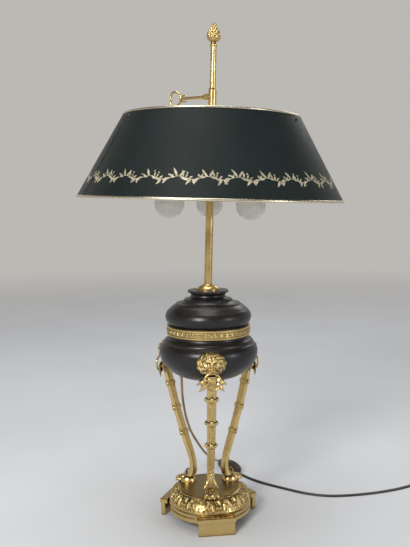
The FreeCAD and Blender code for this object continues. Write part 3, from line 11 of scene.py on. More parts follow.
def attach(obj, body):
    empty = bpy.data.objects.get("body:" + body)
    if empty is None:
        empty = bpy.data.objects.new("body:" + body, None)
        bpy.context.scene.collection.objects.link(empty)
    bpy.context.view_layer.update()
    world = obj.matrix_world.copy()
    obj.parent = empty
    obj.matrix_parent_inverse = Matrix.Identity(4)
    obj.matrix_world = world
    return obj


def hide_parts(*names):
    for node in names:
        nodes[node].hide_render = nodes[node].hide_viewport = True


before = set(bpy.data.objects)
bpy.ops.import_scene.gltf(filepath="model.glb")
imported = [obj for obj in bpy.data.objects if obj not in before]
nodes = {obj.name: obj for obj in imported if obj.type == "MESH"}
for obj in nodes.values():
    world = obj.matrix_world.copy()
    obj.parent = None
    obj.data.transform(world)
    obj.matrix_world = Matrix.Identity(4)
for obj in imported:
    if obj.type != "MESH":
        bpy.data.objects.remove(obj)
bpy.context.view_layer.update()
scene = bpy.context.scene
rng = random.Random(11)
MM = 0.001

# The camera

AZIMUTH = math.radians(-3.0)
PITCH = math.radians(5.83)
ROLL = math.radians(-0.51)
EYE = (-4.57 * MM, -1072.35 * MM, 504.05 * MM)
FOCAL_PIXELS = 686.5
PIXELS_HIGH = 547
SENSOR = 36.0


def make_camera():
    """The photograph's camera, from the fit of the lamp's own circles."""
    across = Vector((math.cos(AZIMUTH), math.sin(AZIMUTH), 0))
    away = Vector((-math.sin(AZIMUTH), math.cos(AZIMUTH), 0))
    forward = away * math.cos(PITCH) - Vector((0, 0, 1)) * math.sin(PITCH)
    level_up = across.cross(forward)
    right = across * math.cos(ROLL) + level_up * math.sin(ROLL)
    up = level_up * math.cos(ROLL) - across * math.sin(ROLL)
    camera = bpy.data.cameras.new("camera")
    camera.sensor_width = SENSOR
    camera.lens = FOCAL_PIXELS / PIXELS_HIGH * SENSOR
    camera.clip_end = 100
    holder = bpy.data.objects.new("camera", camera)
    scene.collection.objects.link(holder)
    place = across * EYE[0] + away * EYE[1] + Vector((0, 0, EYE[2]))
    turn = Matrix((right, up, -forward)).transposed().to_4x4()
    holder.matrix_world = Matrix.Translation(place) @ turn
    scene.camera = holder


# Materials


class Finish:
    """A Principled material built up node by node on object coordinates."""

    def __init__(self, name, **constants):
        self.material = bpy.data.materials.new(name)
        self.material.use_nodes = True
        self.tree = self.material.node_tree
        self.shader = self.tree.nodes["Principled BSDF"]
        for key, value in constants.items():
            self.shader.inputs[key.replace("_", " ")].default_value = value
        self.where = self.tree.nodes.new("ShaderNodeTexCoord").outputs["Object"]

    def node(self, kind, links=(), **settings):
        made = self.tree.nodes.new("ShaderNode" + kind)
        for key, value in settings.items():
            setattr(made, key, value)
        for key, source in dict(links).items():
            if hasattr(source, "is_output"):
                self.tree.links.new(source, made.inputs[key])
            else:
                made.inputs[key].default_value = source
        return made

    def noise(self, scale, detail=3.0, roughness=0.55, vector=None):
        made = self.node("TexNoise", {
            "Vector": vector or self.where, "Scale": scale, "Detail": detail,
            "Roughness": roughness})
        return made.outputs["Fac"]

    def stretched(self, x, y, z):
        made = self.node("Mapping", {"Vector": self.where})
        made.inputs["Scale"].default_value = (x, y, z)
        return made.outputs["Vector"]

    def ramp(self, factor, stops):
        stops = list(stops)
        made = self.node("ValToRGB", {"Fac": factor})
        points = made.color_ramp.elements
        while len(points) < len(stops):
            points.new(0.5)
        for point, (place, colour) in zip(points, stops):
            point.position = place
            point.color = (*colour, 1.0)
        return made.outputs["Color"]

    def mix(self, factor, first, second):
        made = self.node("Mix", data_type="RGBA")
        for index, source in ((0, factor), (6, first), (7, second)):
            if hasattr(source, "is_output"):
                self.tree.links.new(source, made.inputs[index])
            else:
                made.inputs[index].default_value = source if index == 0 else (*source, 1.0)
        return made.outputs[2]

    def sum(self, first, second, operation="ADD"):
        return self.node("Math", {0: first, 1: second}, operation=operation).outputs[0]

    def between(self, factor, low, high):
        made = self.node("MapRange", {"Value": factor, "To Min": low, "To Max": high})
        return made.outputs["Result"]

    # Ambient occlusion makes a colour darker in hollows and between parts, which is painted shade.
    def occlusion_shade(self, reach):
        return self.node("AmbientOcclusion", {"Distance": reach}, samples=6).outputs["AO"]

    def bump(self, height, strength, distance):
        made = self.node("Bump", {"Height": height, "Strength": strength,
                                  "Distance": distance})
        self.set("Normal", made.outputs["Normal"])

    def coat(self, colour, roughness):
        self.set("Base Color", colour)
        self.set("Roughness", roughness)

    def set(self, socket, source):
        self.tree.links.new(source, self.shader.inputs[socket])


def gilt_finish(name, bright, dark, matt):
    """Chased gilt bronze, bright on the high places, with its hollows darkened by ambient
    occlusion: painted shade, together with the dirt gathered there.
    """
    finish = Finish(name, Metallic=1.0)
    cloud = finish.noise(55.0, 4.0)
    fine = finish.noise(900.0, 3.0, 0.6)
    worn = finish.mix(cloud, tuple(c * 0.72 for c in bright), bright)
    # Painted shade: occlusion pulls the hollows toward the dark colour, which also stands for dirt
    # gathered there.
    hollow_shade_and_dirt = finish.ramp(finish.occlusion_shade(0.005), [(0.35, (0, 0, 0)), (0.9, (1, 1, 1))])
    spread = finish.sum(finish.between(cloud, -0.06, 0.07), finish.between(fine, -0.04, 0.05))
    finish.coat(finish.mix(hollow_shade_and_dirt, dark, worn), finish.sum(spread, matt))
    grain = finish.sum(fine, finish.noise(260.0, 2.0))
    finish.bump(grain, 0.16, 0.00016)
    return finish.material


def brass_finish():
    """Turned brass with fine lathe marks and a little tarnish."""
    finish = Finish("turned_brass", Metallic=1.0)
    tarnish = finish.noise(38.0, 5.0, 0.62)
    lathe = finish.noise(60.0, 2.0, 0.5, finish.stretched(1.0, 1.0, 8.0))
    colour = finish.ramp(tarnish, [(0.3, (0.44, 0.29, 0.105)), (0.62, (0.70, 0.51, 0.22))])
    finish.coat(colour, finish.sum(finish.between(tarnish, 0.24, 0.14),
                                   finish.between(lathe, 0.0, 0.06)))
    finish.bump(lathe, 0.05, 0.00005)
    return finish.material


def patina_finish():
    """The urn: near-black satin over turned metal, browner where it is rubbed."""
    finish = Finish("black_patina", Metallic=0.0, Specular_IOR_Level=0.42)
    cloud = finish.noise(22.0, 5.0, 0.6)
    rubbed = finish.ramp(finish.noise(130.0, 3.0), [(0.58, (0, 0, 0)), (0.8, (1, 1, 1))])
    body = finish.ramp(cloud, [(0.3, (0.0050, 0.0052, 0.0062)), (0.7, (0.0125, 0.0098, 0.0090))])
    brown = finish.mix(0.5, body, (0.028, 0.017, 0.012))
    finish.coat(finish.mix(rubbed, body, brown),
                finish.sum(finish.between(cloud, 0.27, 0.36),
                           finish.between(finish.noise(420.0), -0.03, 0.05)))
    finish.bump(finish.noise(300.0, 3.0), 0.12, 0.00015)
    return finish.material


def shade_finish():
    """The shade's sheet: dark blue-green paint outside and off-white inside."""
    finish = Finish("tole_paint", Metallic=0.0, Specular_IOR_Level=0.27)
    shape = finish.node("NewGeometry")
    flat = finish.node("VectorMath", {0: shape.outputs["Position"], 1: (1, 1, 0)},
                       operation="MULTIPLY")
    outward = finish.node("VectorMath", {0: flat.outputs[0], 1: shape.outputs["True Normal"]},
                          operation="DOT_PRODUCT")
    outside = finish.sum(outward.outputs["Value"], 0.0, "GREATER_THAN")
    cloud = finish.noise(9.0, 5.0, 0.6)
    streak = finish.noise(14.0, 4.0, 0.6, finish.stretched(1.0, 1.0, 0.25))
    paint = finish.ramp(cloud, [(0.28, (0.0035, 0.0068, 0.0066)), (0.72, (0.0078, 0.0134, 0.0130))])
    dusty = finish.mix(finish.between(streak, 0.0, 0.3), paint, (0.017, 0.026, 0.025))
    specks = finish.ramp(finish.noise(700.0, 2.0), [(0.74, (0, 0, 0)), (0.8, (1, 1, 1))])
    dusty = finish.mix(finish.between(specks, 0.0, 0.3), dusty, (0.07, 0.07, 0.065))
    lining = finish.ramp(cloud, [(0.3, (0.60, 0.54, 0.43)), (0.7, (0.72, 0.67, 0.56))])
    finish.coat(finish.mix(outside, lining, dusty),
                finish.sum(finish.between(streak, 0.36, 0.52), finish.between(specks, 0.0, 0.1)))
    finish.bump(finish.sum(finish.noise(45.0, 3.0), finish.noise(380.0, 2.0)), 0.12, 0.0003)
    return finish.material


def leaf_paint_finish():
    """The border on the shade: thin hand-laid gilt paint, rubbed in places."""
    finish = Finish("gilt_paint", Metallic=0.35)
    wear = finish.noise(160.0, 3.0, 0.6)
    gilt = finish.ramp(wear, [
        (0.25, (0.20, 0.17, 0.10)), (0.5, (0.44, 0.40, 0.28)), (0.75, (0.62, 0.58, 0.44))])
    finish.coat(gilt, finish.between(wear, 0.55, 0.38))
    finish.bump(finish.noise(800.0, 2.0), 0.3, 0.0001)
    return finish.material


def silk_finish():
    """Twisted silk-covered cord: old gold over brown, with its thread's fine slant."""
    finish = Finish("silk_cord", Metallic=0.0, Sheen_Weight=0.4)
    along = finish.tree.nodes.new("ShaderNodeTexCoord").outputs["UV"]
    thread = finish.node("TexWave", {"Vector": along, "Scale": 3.2, "Distortion": 0.6,
                                     "Detail": 1.0}, bands_direction="DIAGONAL")
    shade = finish.mix(thread.outputs["Fac"], (0.13, 0.075, 0.028), (0.50, 0.35, 0.15))
    finish.coat(finish.mix(finish.noise(220.0), shade, (0.28, 0.175, 0.07)),
                finish.between(finish.noise(300.0), 0.5, 0.7))
    finish.bump(thread.outputs["Fac"], 0.6, 0.0003)
    return finish.material


def clouded_finish(name, cloud, colours, matt, grain, depth=0.2, **constants):
    """Steel, glass and mouldings: clouds between two colours and two roughnesses, fine grain."""
    finish = Finish(name, **constants)
    patch = finish.noise(*cloud)
    finish.coat(finish.ramp(patch, zip((0.3, 0.7), colours)), finish.between(patch, *matt))
    finish.bump(finish.noise(grain, 2.0), depth, 0.0001)
    return finish.material


# In each gilt, the darker colour is painted shade in the hollows, together with the dirt there.
GILT = gilt_finish("gilt_bronze", (0.76, 0.56, 0.235), (0.085, 0.048, 0.014), 0.25)
RELIEF = gilt_finish("gilt_relief", (0.84, 0.635, 0.285), (0.050, 0.028, 0.008), 0.29)
DISC = gilt_finish("gilt_disc", (0.47, 0.36, 0.165), (0.10, 0.062, 0.02), 0.36)
RIM = gilt_finish("pale_rim", (0.80, 0.72, 0.54), (0.16, 0.12, 0.07), 0.26)
BRASS = brass_finish()
PATINA = patina_finish()
SHADE = shade_finish()
LEAF = leaf_paint_finish()
SILK = silk_finish()
STEEL = clouded_finish(
    "plain_steel", (120.0, 4.0), ((0.34, 0.33, 0.31), (0.56, 0.55, 0.53)), (0.28, 0.45), 900.0,
    Metallic=1.0)
GLASS = clouded_finish(
    "clouded_glass", (90.0, 3.0), ((0.80, 0.77, 0.71), (0.93, 0.91, 0.87)), (0.16, 0.3), 500.0,
    0.1, Metallic=0.0, IOR=1.45, Transmission_Weight=0.32)
FLEX, BROWN, BLACK = (
    clouded_finish(name, (70.0, 4.0), colours, matt, grain, Metallic=0.0)
    for name, colours, matt, grain in (
        ("flex_cover", ((0.012, 0.011, 0.010), (0.032, 0.029, 0.026)), (0.31, 0.43), 600.0),
        ("brown_moulding", ((0.022, 0.013, 0.008), (0.045, 0.026, 0.016)), (0.20, 0.32), 500.0),
        ("black_moulding", ((0.012, 0.012, 0.012), (0.026, 0.026, 0.026)), (0.37, 0.49), 500.0)))

NODE_FINISH = {
    "gilt": GILT, "brass": BRASS, "patina": PATINA, "shade_paint": SHADE, "steel": STEEL,
    "frosted_glass": GLASS, "braid": SILK, "flex": FLEX, "brown_plastic": BROWN,
    "black_plastic": BLACK}


def dress_nodes():
    """Gives every carried-over node the finish of its record's slot."""
    for name, thing in nodes.items():
        for slot in thing.material_slots:
            slot.material = NODE_FINISH[slot.material.name.split(".")[0]]
    nodes["base_disc"].material_slots[0].material = DISC
    for name in ("shade_top_bead", "shade_bottom_bead"):
        nodes[name].material_slots[0].material = RIM
    nodes["shade_screws"].material_slots[0].material = PATINA


# Mesh helpers


class Shape:
    """Vertices, faces and texture places gathered into one mesh."""

    def __init__(self):
        self.points = []
        self.faces = []
        self.places = []

    def grid(self, rows, closed=False, texture=None):
        """Faces between rows of equal length; closed joins each row's ends."""
        start = len(self.points)
        width = len(rows[0])
        for index, row in enumerate(rows):
            for step, point in enumerate(row):
                self.points.append(point)
                self.places.append(texture(index, step) if texture else (0.0, 0.0))
        last = width if closed else width - 1
        for index in range(len(rows) - 1):
            for step in range(last):
                a = start + index * width + step
                b = start + index * width + (step + 1) % width
                self.faces.append((a, b, b + width, a + width))

    def fan(self, ring, tip):
        start = len(self.points)
        self.points += list(ring) + [tip]
        self.places += [(0.0, 0.0)] * (len(ring) + 1)
        for step in range(len(ring)):
            self.faces.append((start + step, start + (step + 1) % len(ring), start + len(ring)))

    def rod(self, rows, points, texture=None):
        """Rings along the points, closed at both ends."""
        self.grid(rows, closed=True, texture=texture)
        self.fan(rows[0][::-1], points[0])
        self.fan(rows[-1], points[-1])

    def make(self, name, material, body):
        mesh = bpy.data.meshes.new(name)
        mesh.from_pydata(self.points, [], self.faces)
        layer = mesh.uv_layers.new(name="UVMap")
        for loop in mesh.loops:
            layer.data[loop.index].uv = self.places[loop.vertex_index]
        mesh.polygons.foreach_set("use_smooth", [True] * len(mesh.polygons))
        mesh.materials.append(material)
        thing = bpy.data.objects.new(name, mesh)
        scene.collection.objects.link(thing)
        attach(thing, body)
        return thing


LEAN_ANGLE = math.radians(2.0)
LEAN_HEADING = math.radians(28.0)
LEAN_FOOT = 0.378


def lean_matrix():
    """The stem's lean, as in the photograph, about the top of its collar."""
    axis = Vector((math.sin(LEAN_HEADING), math.cos(LEAN_HEADING), 0))
    pivot = Matrix.Translation((0, 0, LEAN_FOOT))
    return pivot @ Matrix.Rotation(LEAN_ANGLE, 4, axis) @ pivot.inverted()


LEAN = lean_matrix()
SIDES = (("front", 0.0), ("right", 120.0), ("left", -120.0))
PROFILE_AT = math.radians(20)


def tree_of(name):
    """A search tree over a node's mesh."""
    mesh = nodes[name].data
    faces = [tuple(polygon.vertices) for polygon in mesh.polygons]
    return BVHTree.FromPolygons([vertex.co.copy() for vertex in mesh.vertices], faces)


def radial(turn):
    """The level unit vector that points along turn."""
    return Vector((math.cos(turn), math.sin(turn), 0))


def surface_at(search, start, way, missing):
    """Where a ray meets the surface, with the normal turned back to the ray's start."""
    point, normal, _, _ = search.ray_cast(start, way)
    if point is None:
        return missing, -way
    return point, -normal if normal.dot(way) > 0 else normal


def ellipsoid(shape, centre, axes, rings=8, around=14):
    """A ball with three half-axis vectors."""
    a, b, c = axes
    rows = []
    for i in range(rings + 1):
        high = math.pi * i / rings
        row = []
        for j in range(around):
            turn = math.tau * j / around
            row.append(centre + a * (math.sin(high) * math.cos(turn))
                       + b * (math.sin(high) * math.sin(turn)) + c * math.cos(high))
        rows.append(row)
    shape.grid(rows, closed=True)


def frames_along(points):
    """Point, direction, side and up at each place, carried along without twist."""
    found = []
    side = None
    for index, point in enumerate(points):
        before = points[max(index - 1, 0)]
        after = points[min(index + 1, len(points) - 1)]
        way = (after - before).normalized()
        if side is None:
            side = way.orthogonal().normalized()
        side = (side - way * side.dot(way)).normalized()
        found.append((point, way, side, way.cross(side)))
    return found


def tube(shape, points, radius, around=10):
    """A round tube; radius is a number or one for each point."""
    rows = []
    length = 0.0
    lengths = []
    for index, (point, _, side, up) in enumerate(frames_along(points)):
        size = radius[index] if isinstance(radius, list) else radius
        if index:
            length += (point - points[index - 1]).length
        lengths.append(length)
        rows.append([point + (side * math.cos(t) + up * math.sin(t)) * size
                     for t in (math.tau * j / around for j in range(around))])
    scale = 1.0 / (radius if not isinstance(radius, list) else max(radius))
    shape.rod(rows, points, lambda i, j: (j / around, lengths[i] * scale * 0.16))


def spline_points(route, steps):
    """The points along the smooth NURBS line whose control points are the route."""
    curve = bpy.data.curves.new("route", "CURVE")
    curve.dimensions = "3D"
    curve.resolution_u = steps
    spline = curve.splines.new("NURBS")
    spline.points.add(len(route) - 1)
    for point, place in zip(spline.points, route):
        point.co = (*place, 1.0)
    spline.order_u = 3
    spline.use_endpoint_u = True
    holder = bpy.data.objects.new("route", curve)
    scene.collection.objects.link(holder)
    mesh = bpy.data.meshes.new_from_object(holder)
    points = [v.co.copy() for v in mesh.vertices]
    bpy.data.objects.remove(holder)
    return points


# The cords

BRAID_ROUTE = [
    (-0.0429, 0.0373, 0.2201), (-0.0424, 0.0460, 0.1960), (-0.0406, 0.0590, 0.1710),
    (-0.0356, 0.0840, 0.1370), (-0.0280, 0.1130, 0.1050), (-0.0180, 0.1450, 0.0770),
    (-0.0085, 0.1760, 0.0530), (0.0005, 0.2050, 0.0310), (0.0095, 0.2230, 0.0145),
    (0.0228, 0.2203, 0.0078), (0.0310, 0.2090, 0.00775)]
FLEX_ROUTE = [
    (0.065, 0.162), (0.076, 0.145), (0.091, 0.127), (0.113, 0.107), (0.140, 0.0875),
    (0.170, 0.0655), (0.206, 0.052), (0.247, 0.0525), (0.288, 0.0585), (0.330, 0.070),
    (0.366, 0.086), (0.392, 0.104)]
STRAND = 0.00128
STRAND_OFFSET = 0.00112
STRAND_LAY = 0.0095
FLEX_LOBE = 0.0015
FLEX_HEIGHT = 0.0015
COIL_TURNS = 2.25
COIL_PITCH = 0.0066
COIL_MIDDLE = 0.033
COIL_RISE = 0.0034
COIL_STEPS = 16
PLUG_HEIGHT = 0.0098


def make_braid():
    """The silk cord from the urn to the switch, two strands laid round each other."""
    points = spline_points(BRAID_ROUTE, 24)
    shape = Shape()
    places = frames_along(points)
    for half in (0, math.pi):
        strand = []
        run = 0.0
        for index, (point, _, side, up) in enumerate(places):
            if index:
                run += (point - points[index - 1]).length
            turn = half + math.tau * run / STRAND_LAY
            strand.append(point + (side * math.cos(turn) + up * math.sin(turn)) * STRAND_OFFSET)
        tube(shape, strand, STRAND, 9)
    cord = shape.make("silk_cord", SILK, "root")
    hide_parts("braided_cord")


def flex_route():
    """The floor run, then two flat layers of coil, then the short tail to the plug."""
    route = [(x, y, FLEX_HEIGHT) for x, y in FLEX_ROUTE]
    start, before = Vector(route[-1]), Vector(route[-2])
    heading = (start - before).normalized()
    right = Vector((heading.y, -heading.x, 0))
    outer = COIL_MIDDLE + COIL_PITCH * COIL_TURNS / 2
    inner = COIL_MIDDLE - COIL_PITCH * COIL_TURNS / 2
    centre = start + heading * 0.006 + right * outer
    facing = math.atan2(-right.y, -right.x)
    total = int((2 * COIL_TURNS + 0.5) * COIL_STEPS)
    for step in range(total + 1):
        turns = step / COIL_STEPS
        share = min(max((turns - COIL_TURNS) / 0.5, 0.0), 1.0)
        if turns <= COIL_TURNS:
            radius = inner + COIL_PITCH * (COIL_TURNS - turns)
        elif share < 1.0:
            radius = inner - COIL_PITCH / 4 * math.sin(math.pi * share) ** 2
        else:
            radius = inner + COIL_PITCH * (turns - COIL_TURNS - 0.5)
        lift = COIL_RISE * (3 * share ** 2 - 2 * share ** 3)
        turn = facing - math.tau * turns
        route.append(tuple(centre + radial(turn) * radius + Vector((0, 0, lift))))
    leave = (Vector(route[-1]) - Vector(route[-2])).normalized()
    leave = Matrix.Rotation(-math.pi / COIL_STEPS, 3, "Z") @ leave
    last = Vector(route[-1])
    for reach, height in ((0.010, 0.0056), (0.022, 0.0084), (0.030, PLUG_HEIGHT),
                          (0.037, PLUG_HEIGHT)):
        place = last + leave * reach
        route.append((place.x, place.y, height))
    return route


def make_flex():
    """The twin flex: two round cores side by side under one cover."""
    route = flex_route()
    points = spline_points(route, 8)
    shape = Shape()
    rows = []
    outline = []
    for side in (1, -1):
        for step in range(9):
            turn = math.radians(-115 + 230 * step / 8)
            outline.append((side * (FLEX_LOBE + FLEX_LOBE * math.cos(turn)),
                            side * FLEX_LOBE * math.sin(turn)))
    for point, way, _, _ in frames_along(points):
        side = way.cross(Vector((0, 0, 1))).normalized()
        up = side.cross(way)
        rows.append([point + side * a + up * b for a, b in outline])
    shape.rod(rows, points)
    flex = shape.make("twin_flex", FLEX, "root")
    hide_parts("floor_flex", "flex_coil")
    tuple(route[0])


# Relief

def leaf_rows(place, length, width, height, lobes=4, across=10, along=18, tip=0.85, depth=0.3):
    """A veined, lobed leaf in relief. place gives a surface point and normal for (x, y)."""
    rows = []
    for j in range(along + 1):
        v = j / along
        outline = math.sin(math.pi * min(v ** tip, 1.0)) ** 0.75 if 0 < v < 1 else 0.0
        notch = 1.0 - 0.24 * abs(math.sin(math.pi * lobes * v))
        half = width / 2 * max(outline * notch, 0.03)
        row = []
        for i in range(across + 1):
            u = 2.0 * i / across - 1.0
            swell = 0.45 + 0.55 * math.sin(math.pi * min(v * 1.1, 1.0))
            crown = math.sqrt(max(1 - u * u, 0.0)) * swell
            vein = math.exp(-(u / 0.16) ** 2) * 0.35
            rib = -depth * 0.5 * (1 + math.cos(math.tau * (lobes * v - abs(u) * 0.9)))
            rise = height * (crown * (1 + rib * (1 - math.exp(-(u / 0.2) ** 2))) + vein * outline)
            if abs(u) == 1.0:
                rise = -0.0004
            point, normal = place(u * half, v * length)
            row.append(point + normal * rise)
        rows.append(row)
    return rows


def turned_place(profile, angle, start, sense=1.0, slant=0.0):
    """A place function on a surface of revolution, given as (distance, radius, z)."""
    def place(x, y):
        along = start + sense * (y * math.cos(slant) + x * math.sin(slant))
        lateral = x * math.cos(slant) - y * math.sin(slant)
        along = min(max(along, profile[0][0]), profile[-1][0])
        for (s0, r0, z0), (s1, r1, z1) in zip(profile, profile[1:]):
            if along <= s1:
                break
        share = (along - s0) / max(s1 - s0, 1e-9)
        radius, z = r0 + (r1 - r0) * share, z0 + (z1 - z0) * share
        turn = angle + lateral / max(radius, 1e-6)
        out = radial(turn)
        normal = (out * (z1 - z0) + Vector((0, 0, r0 - r1))).normalized()
        return out * radius + Vector((0, 0, z)), normal
    return place


def profile_of(name, angle, low, high, count):
    """(distance, radius, z) up the outside of a turned node."""
    search = tree_of(name)
    way = radial(angle)
    found = []
    run = 0.0
    for index in range(count + 1):
        z = low + (high - low) * index / count
        hit = search.ray_cast(way * 0.3 + Vector((0, 0, z)), -way)[0]
        radius = math.hypot(hit.x, hit.y)
        if found:
            run += math.hypot(radius - found[-1][1], z - found[-1][2])
        found.append((run, radius, z))
    return found


def scroll(shape, place, size, sense, wire=0.00075):
    """A small curled tendril on a surface, ending in a bead."""
    points, sizes = [], []
    for step in range(15):
        t = step / 14
        turn = sense * (0.4 + t * 5.6)
        radius = size * (1 - 0.72 * t)
        point, normal = place(radius * math.sin(turn), radius * math.cos(turn))
        points.append(point + normal * 0.0005)
        sizes.append(wire * (1.05 - 0.4 * t))
    tube(shape, points, sizes, 7)
    ball(shape, points[-1], normal, wire * 1.5, 5, 8)


FOLIAGE_RANGE = (0.0309, 0.0478)
FOLIAGE_COUNT = 26
PLINTH_BEADS = 96
BEAD_CIRCLE = 0.0509
BEAD_HEIGHT = 0.0482
BEAD_RADIUS = 0.00105


def make_base_relief():
    """The foliage round the plinth: lobed leaves, curled tendrils, buds and berries."""
    profile = profile_of("base_plinth", PROFILE_AT, *FOLIAGE_RANGE, 20)
    total = profile[-1][0]
    shape = Shape()

    def berry(turn, along, radius):
        point, normal = turned_place(profile, turn, along)(0, 0)
        ball(shape, point, normal, radius)

    for index in range(FOLIAGE_COUNT):
        middle = math.tau * (index + 0.5) / FOLIAGE_COUNT + math.radians(3)
        lean = 0.30 if index % 2 else -0.30
        place = turned_place(profile, middle, 0.0008, 1.0, lean)
        shape.grid(leaf_rows(place, total - 0.0030, 0.0092, 0.0026, lobes=5, tip=1.2, depth=0.55,
                             along=24))
        gap = middle + math.pi / FOLIAGE_COUNT
        place = turned_place(profile, gap, total - 0.001, -1.0, -lean)
        shape.grid(leaf_rows(place, total * 0.50, 0.0066, 0.0021, lobes=3, tip=0.8, depth=0.5))
        for side in (-1, 1):
            scroll(shape, turned_place(profile, gap + side * 0.034, total * 0.33), 0.0021, side)
            scroll(shape, turned_place(profile, gap + side * 0.062, total * 0.80), 0.0016, -side,
                   0.0006)
            berry(gap + side * 0.050, total * 0.60, 0.0011)
        berry(gap, 0.0022, 0.0014)
        berry(gap, 0.0056, 0.0011)
    for index in range(2 * FOLIAGE_COUNT):
        turn = math.tau * (index + 0.25) / (2 * FOLIAGE_COUNT)
        shape.grid(leaf_rows(turned_place(profile, turn, 0.0002, 1.0, 0.25), 0.0052, 0.0042, 0.0019,
                             lobes=2, tip=0.8, depth=0.5))
    shape.make("plinth_foliage", RELIEF, "root")
    beads = Shape()
    for index in range(PLINTH_BEADS):
        turn = math.tau * index / PLINTH_BEADS
        point = radial(turn) * BEAD_CIRCLE + Vector((0, 0, BEAD_HEIGHT))
        ball(beads, point, Vector((0, 0, 1)), BEAD_RADIUS, 5, 8)
    beads.make("plinth_beads", RELIEF, "root")


def ball(shape, point, normal, radius, rings=6, around=10):
    side = normal.orthogonal().normalized()
    ellipsoid(shape, point, (side * radius, normal.cross(side) * radius, normal * radius),
              rings, around)


BAND_RANGE = (0.3036, 0.3109)
BAND_SPRIGS = 42
BAND_SLANT = math.radians(58)


def make_band_relief():
    """The urn's band: a running sprig of paired leaves and berries between two lips."""
    profile = profile_of("urn_band", PROFILE_AT, *BAND_RANGE, 8)
    start = profile[-1][0] / 2
    shape = Shape()
    for index in range(BAND_SPRIGS):
        middle = math.tau * index / BAND_SPRIGS
        for side in (-1, 1):
            slant = side * BAND_SLANT
            place = turned_place(profile, middle, start, 1.0, -slant)
            shape.grid(leaf_rows(place, 0.0064, 0.0030, 0.00105, lobes=2, across=6, along=8))
            place = turned_place(profile, middle + math.pi / BAND_SPRIGS, start, -1.0, slant)
            shape.grid(leaf_rows(place, 0.0050, 0.0026, 0.00095, lobes=2, across=6, along=8))
        for step in (0.5, 1.5):
            turn = middle + step * math.pi / BAND_SPRIGS
            point, normal = turned_place(profile, turn, profile[-1][0] * 0.5)(0, 0)
            ball(shape, point, normal, 0.00095, 5, 8)
    shape.make("band_sprig", RELIEF, "root")


# The masks

def bump(x, z, cx, cz, rx, rz, power=2.0, turn=0.0):
    """A rounded boss, 1 at its middle and 0 outside it."""
    dx, dz = x - cx, z - cz
    c, s = math.cos(turn), math.sin(turn)
    away = ((dx * c + dz * s) / rx) ** 2 + ((dz * c - dx * s) / rz) ** 2
    return max(1 - away, 0.0) ** (power / 2)


# Rings of the mane, as (turn, locks, inner share, outer share, height in mm).
MANE = ((0, 13, 0.66, 1.0, 5.2), (1, 11, 0.46, 0.80, 4.4), (2, 9, 0.34, 0.58, 2.6))
# Bosses and hollows of the face, as (height, mirrored, middle x and z, half width and height,
# power, turn), in mm. A mirrored one lies on both sides of the nose.
FACE = (
    (8.0, False, 0, -11.6, 8.2, 7.2, 1.4, 0.0),
    (2.4, False, 0, -2.0, 2.6, 8.0, 1.6, 0.0),
    (1.5, False, 0, -7.4, 3.6, 2.2, 1.6, 0.0),
    (1.7, True, 3.6, -10.8, 3.8, 3.4, 1.8, 0.0),
    (-2.0, False, 0, -14.6, 4.4, 1.3, 1.4, 0.0),
    (1.3, False, 0, -16.6, 3.6, 1.8, 1.6, 0.0),
    (2.0, True, 5.0, 5.3, 4.8, 1.9, 1.6, 0.35),
    (-2.3, True, 5.2, 1.6, 3.2, 2.3, 1.4, 0.0),
    (1.9, True, 5.1, 1.4, 1.7, 1.4, 1.4, 0.0),
    (-0.9, True, 5.1, 1.4, 0.55, 0.5, 1.0, 0.0),
    (1.3, True, 8.6, -4.6, 3.4, 4.4, 1.8, 0.0),
    (-1.0, False, 0, 8.0, 0.9, 4.0, 1.6, 0.0),
    (1.8, True, 2.6, 8.8, 2.1, 3.6, 1.8, 0.0),
    (3.0, True, 10.6, 7.6, 2.8, 3.2, 1.4, 0.5),
    (-2.2, True, 10.4, 7.0, 1.3, 1.8, 1.4, 0.5))


def lion_height(x, z, rho, theta):
    """Height in mm of the lion's face over the urn, for a place in mm from its middle."""
    dome = 4.6 * math.sqrt(max(1 - rho ** 2.6, 0.0))
    locks = 0.0
    for ring, count, low, high, tall in MANE:
        if low < rho < high:
            phase = count * (theta + ring * 0.25 + 0.9 * rho) / 2
            lobe = abs(math.cos(phase)) ** 0.8
            groove = 0.82 + 0.18 * math.cos(phase * 6)
            along = math.sin(math.pi * (rho - low) / (high - low)) ** 0.6
            locks = max(locks, tall * lobe * groove * along)
    face = bump(x, z, 0, -1.5, 11.5, 13.0, 1.0)
    height = dome + locks * (1 - 0.85 * min(face * 1.6, 1.0)) + 3.4 * face
    for tall, mirrored, *form in FACE:
        height += tall * bump(abs(x) if mirrored else x, z, *form)
    height += 0.12 * math.sin(2.4 * theta * 9 + 3 * rho) * rho
    return height


MASK_RANGE = (0.2480, 0.2872)
MASK_MIDDLE = 0.2678
MASK_HALF_WIDTH = 23.4
MASK_ABOVE = 17.6
MASK_BELOW = 20.0
MASK_AROUND = 156
MASK_RINGS = 46


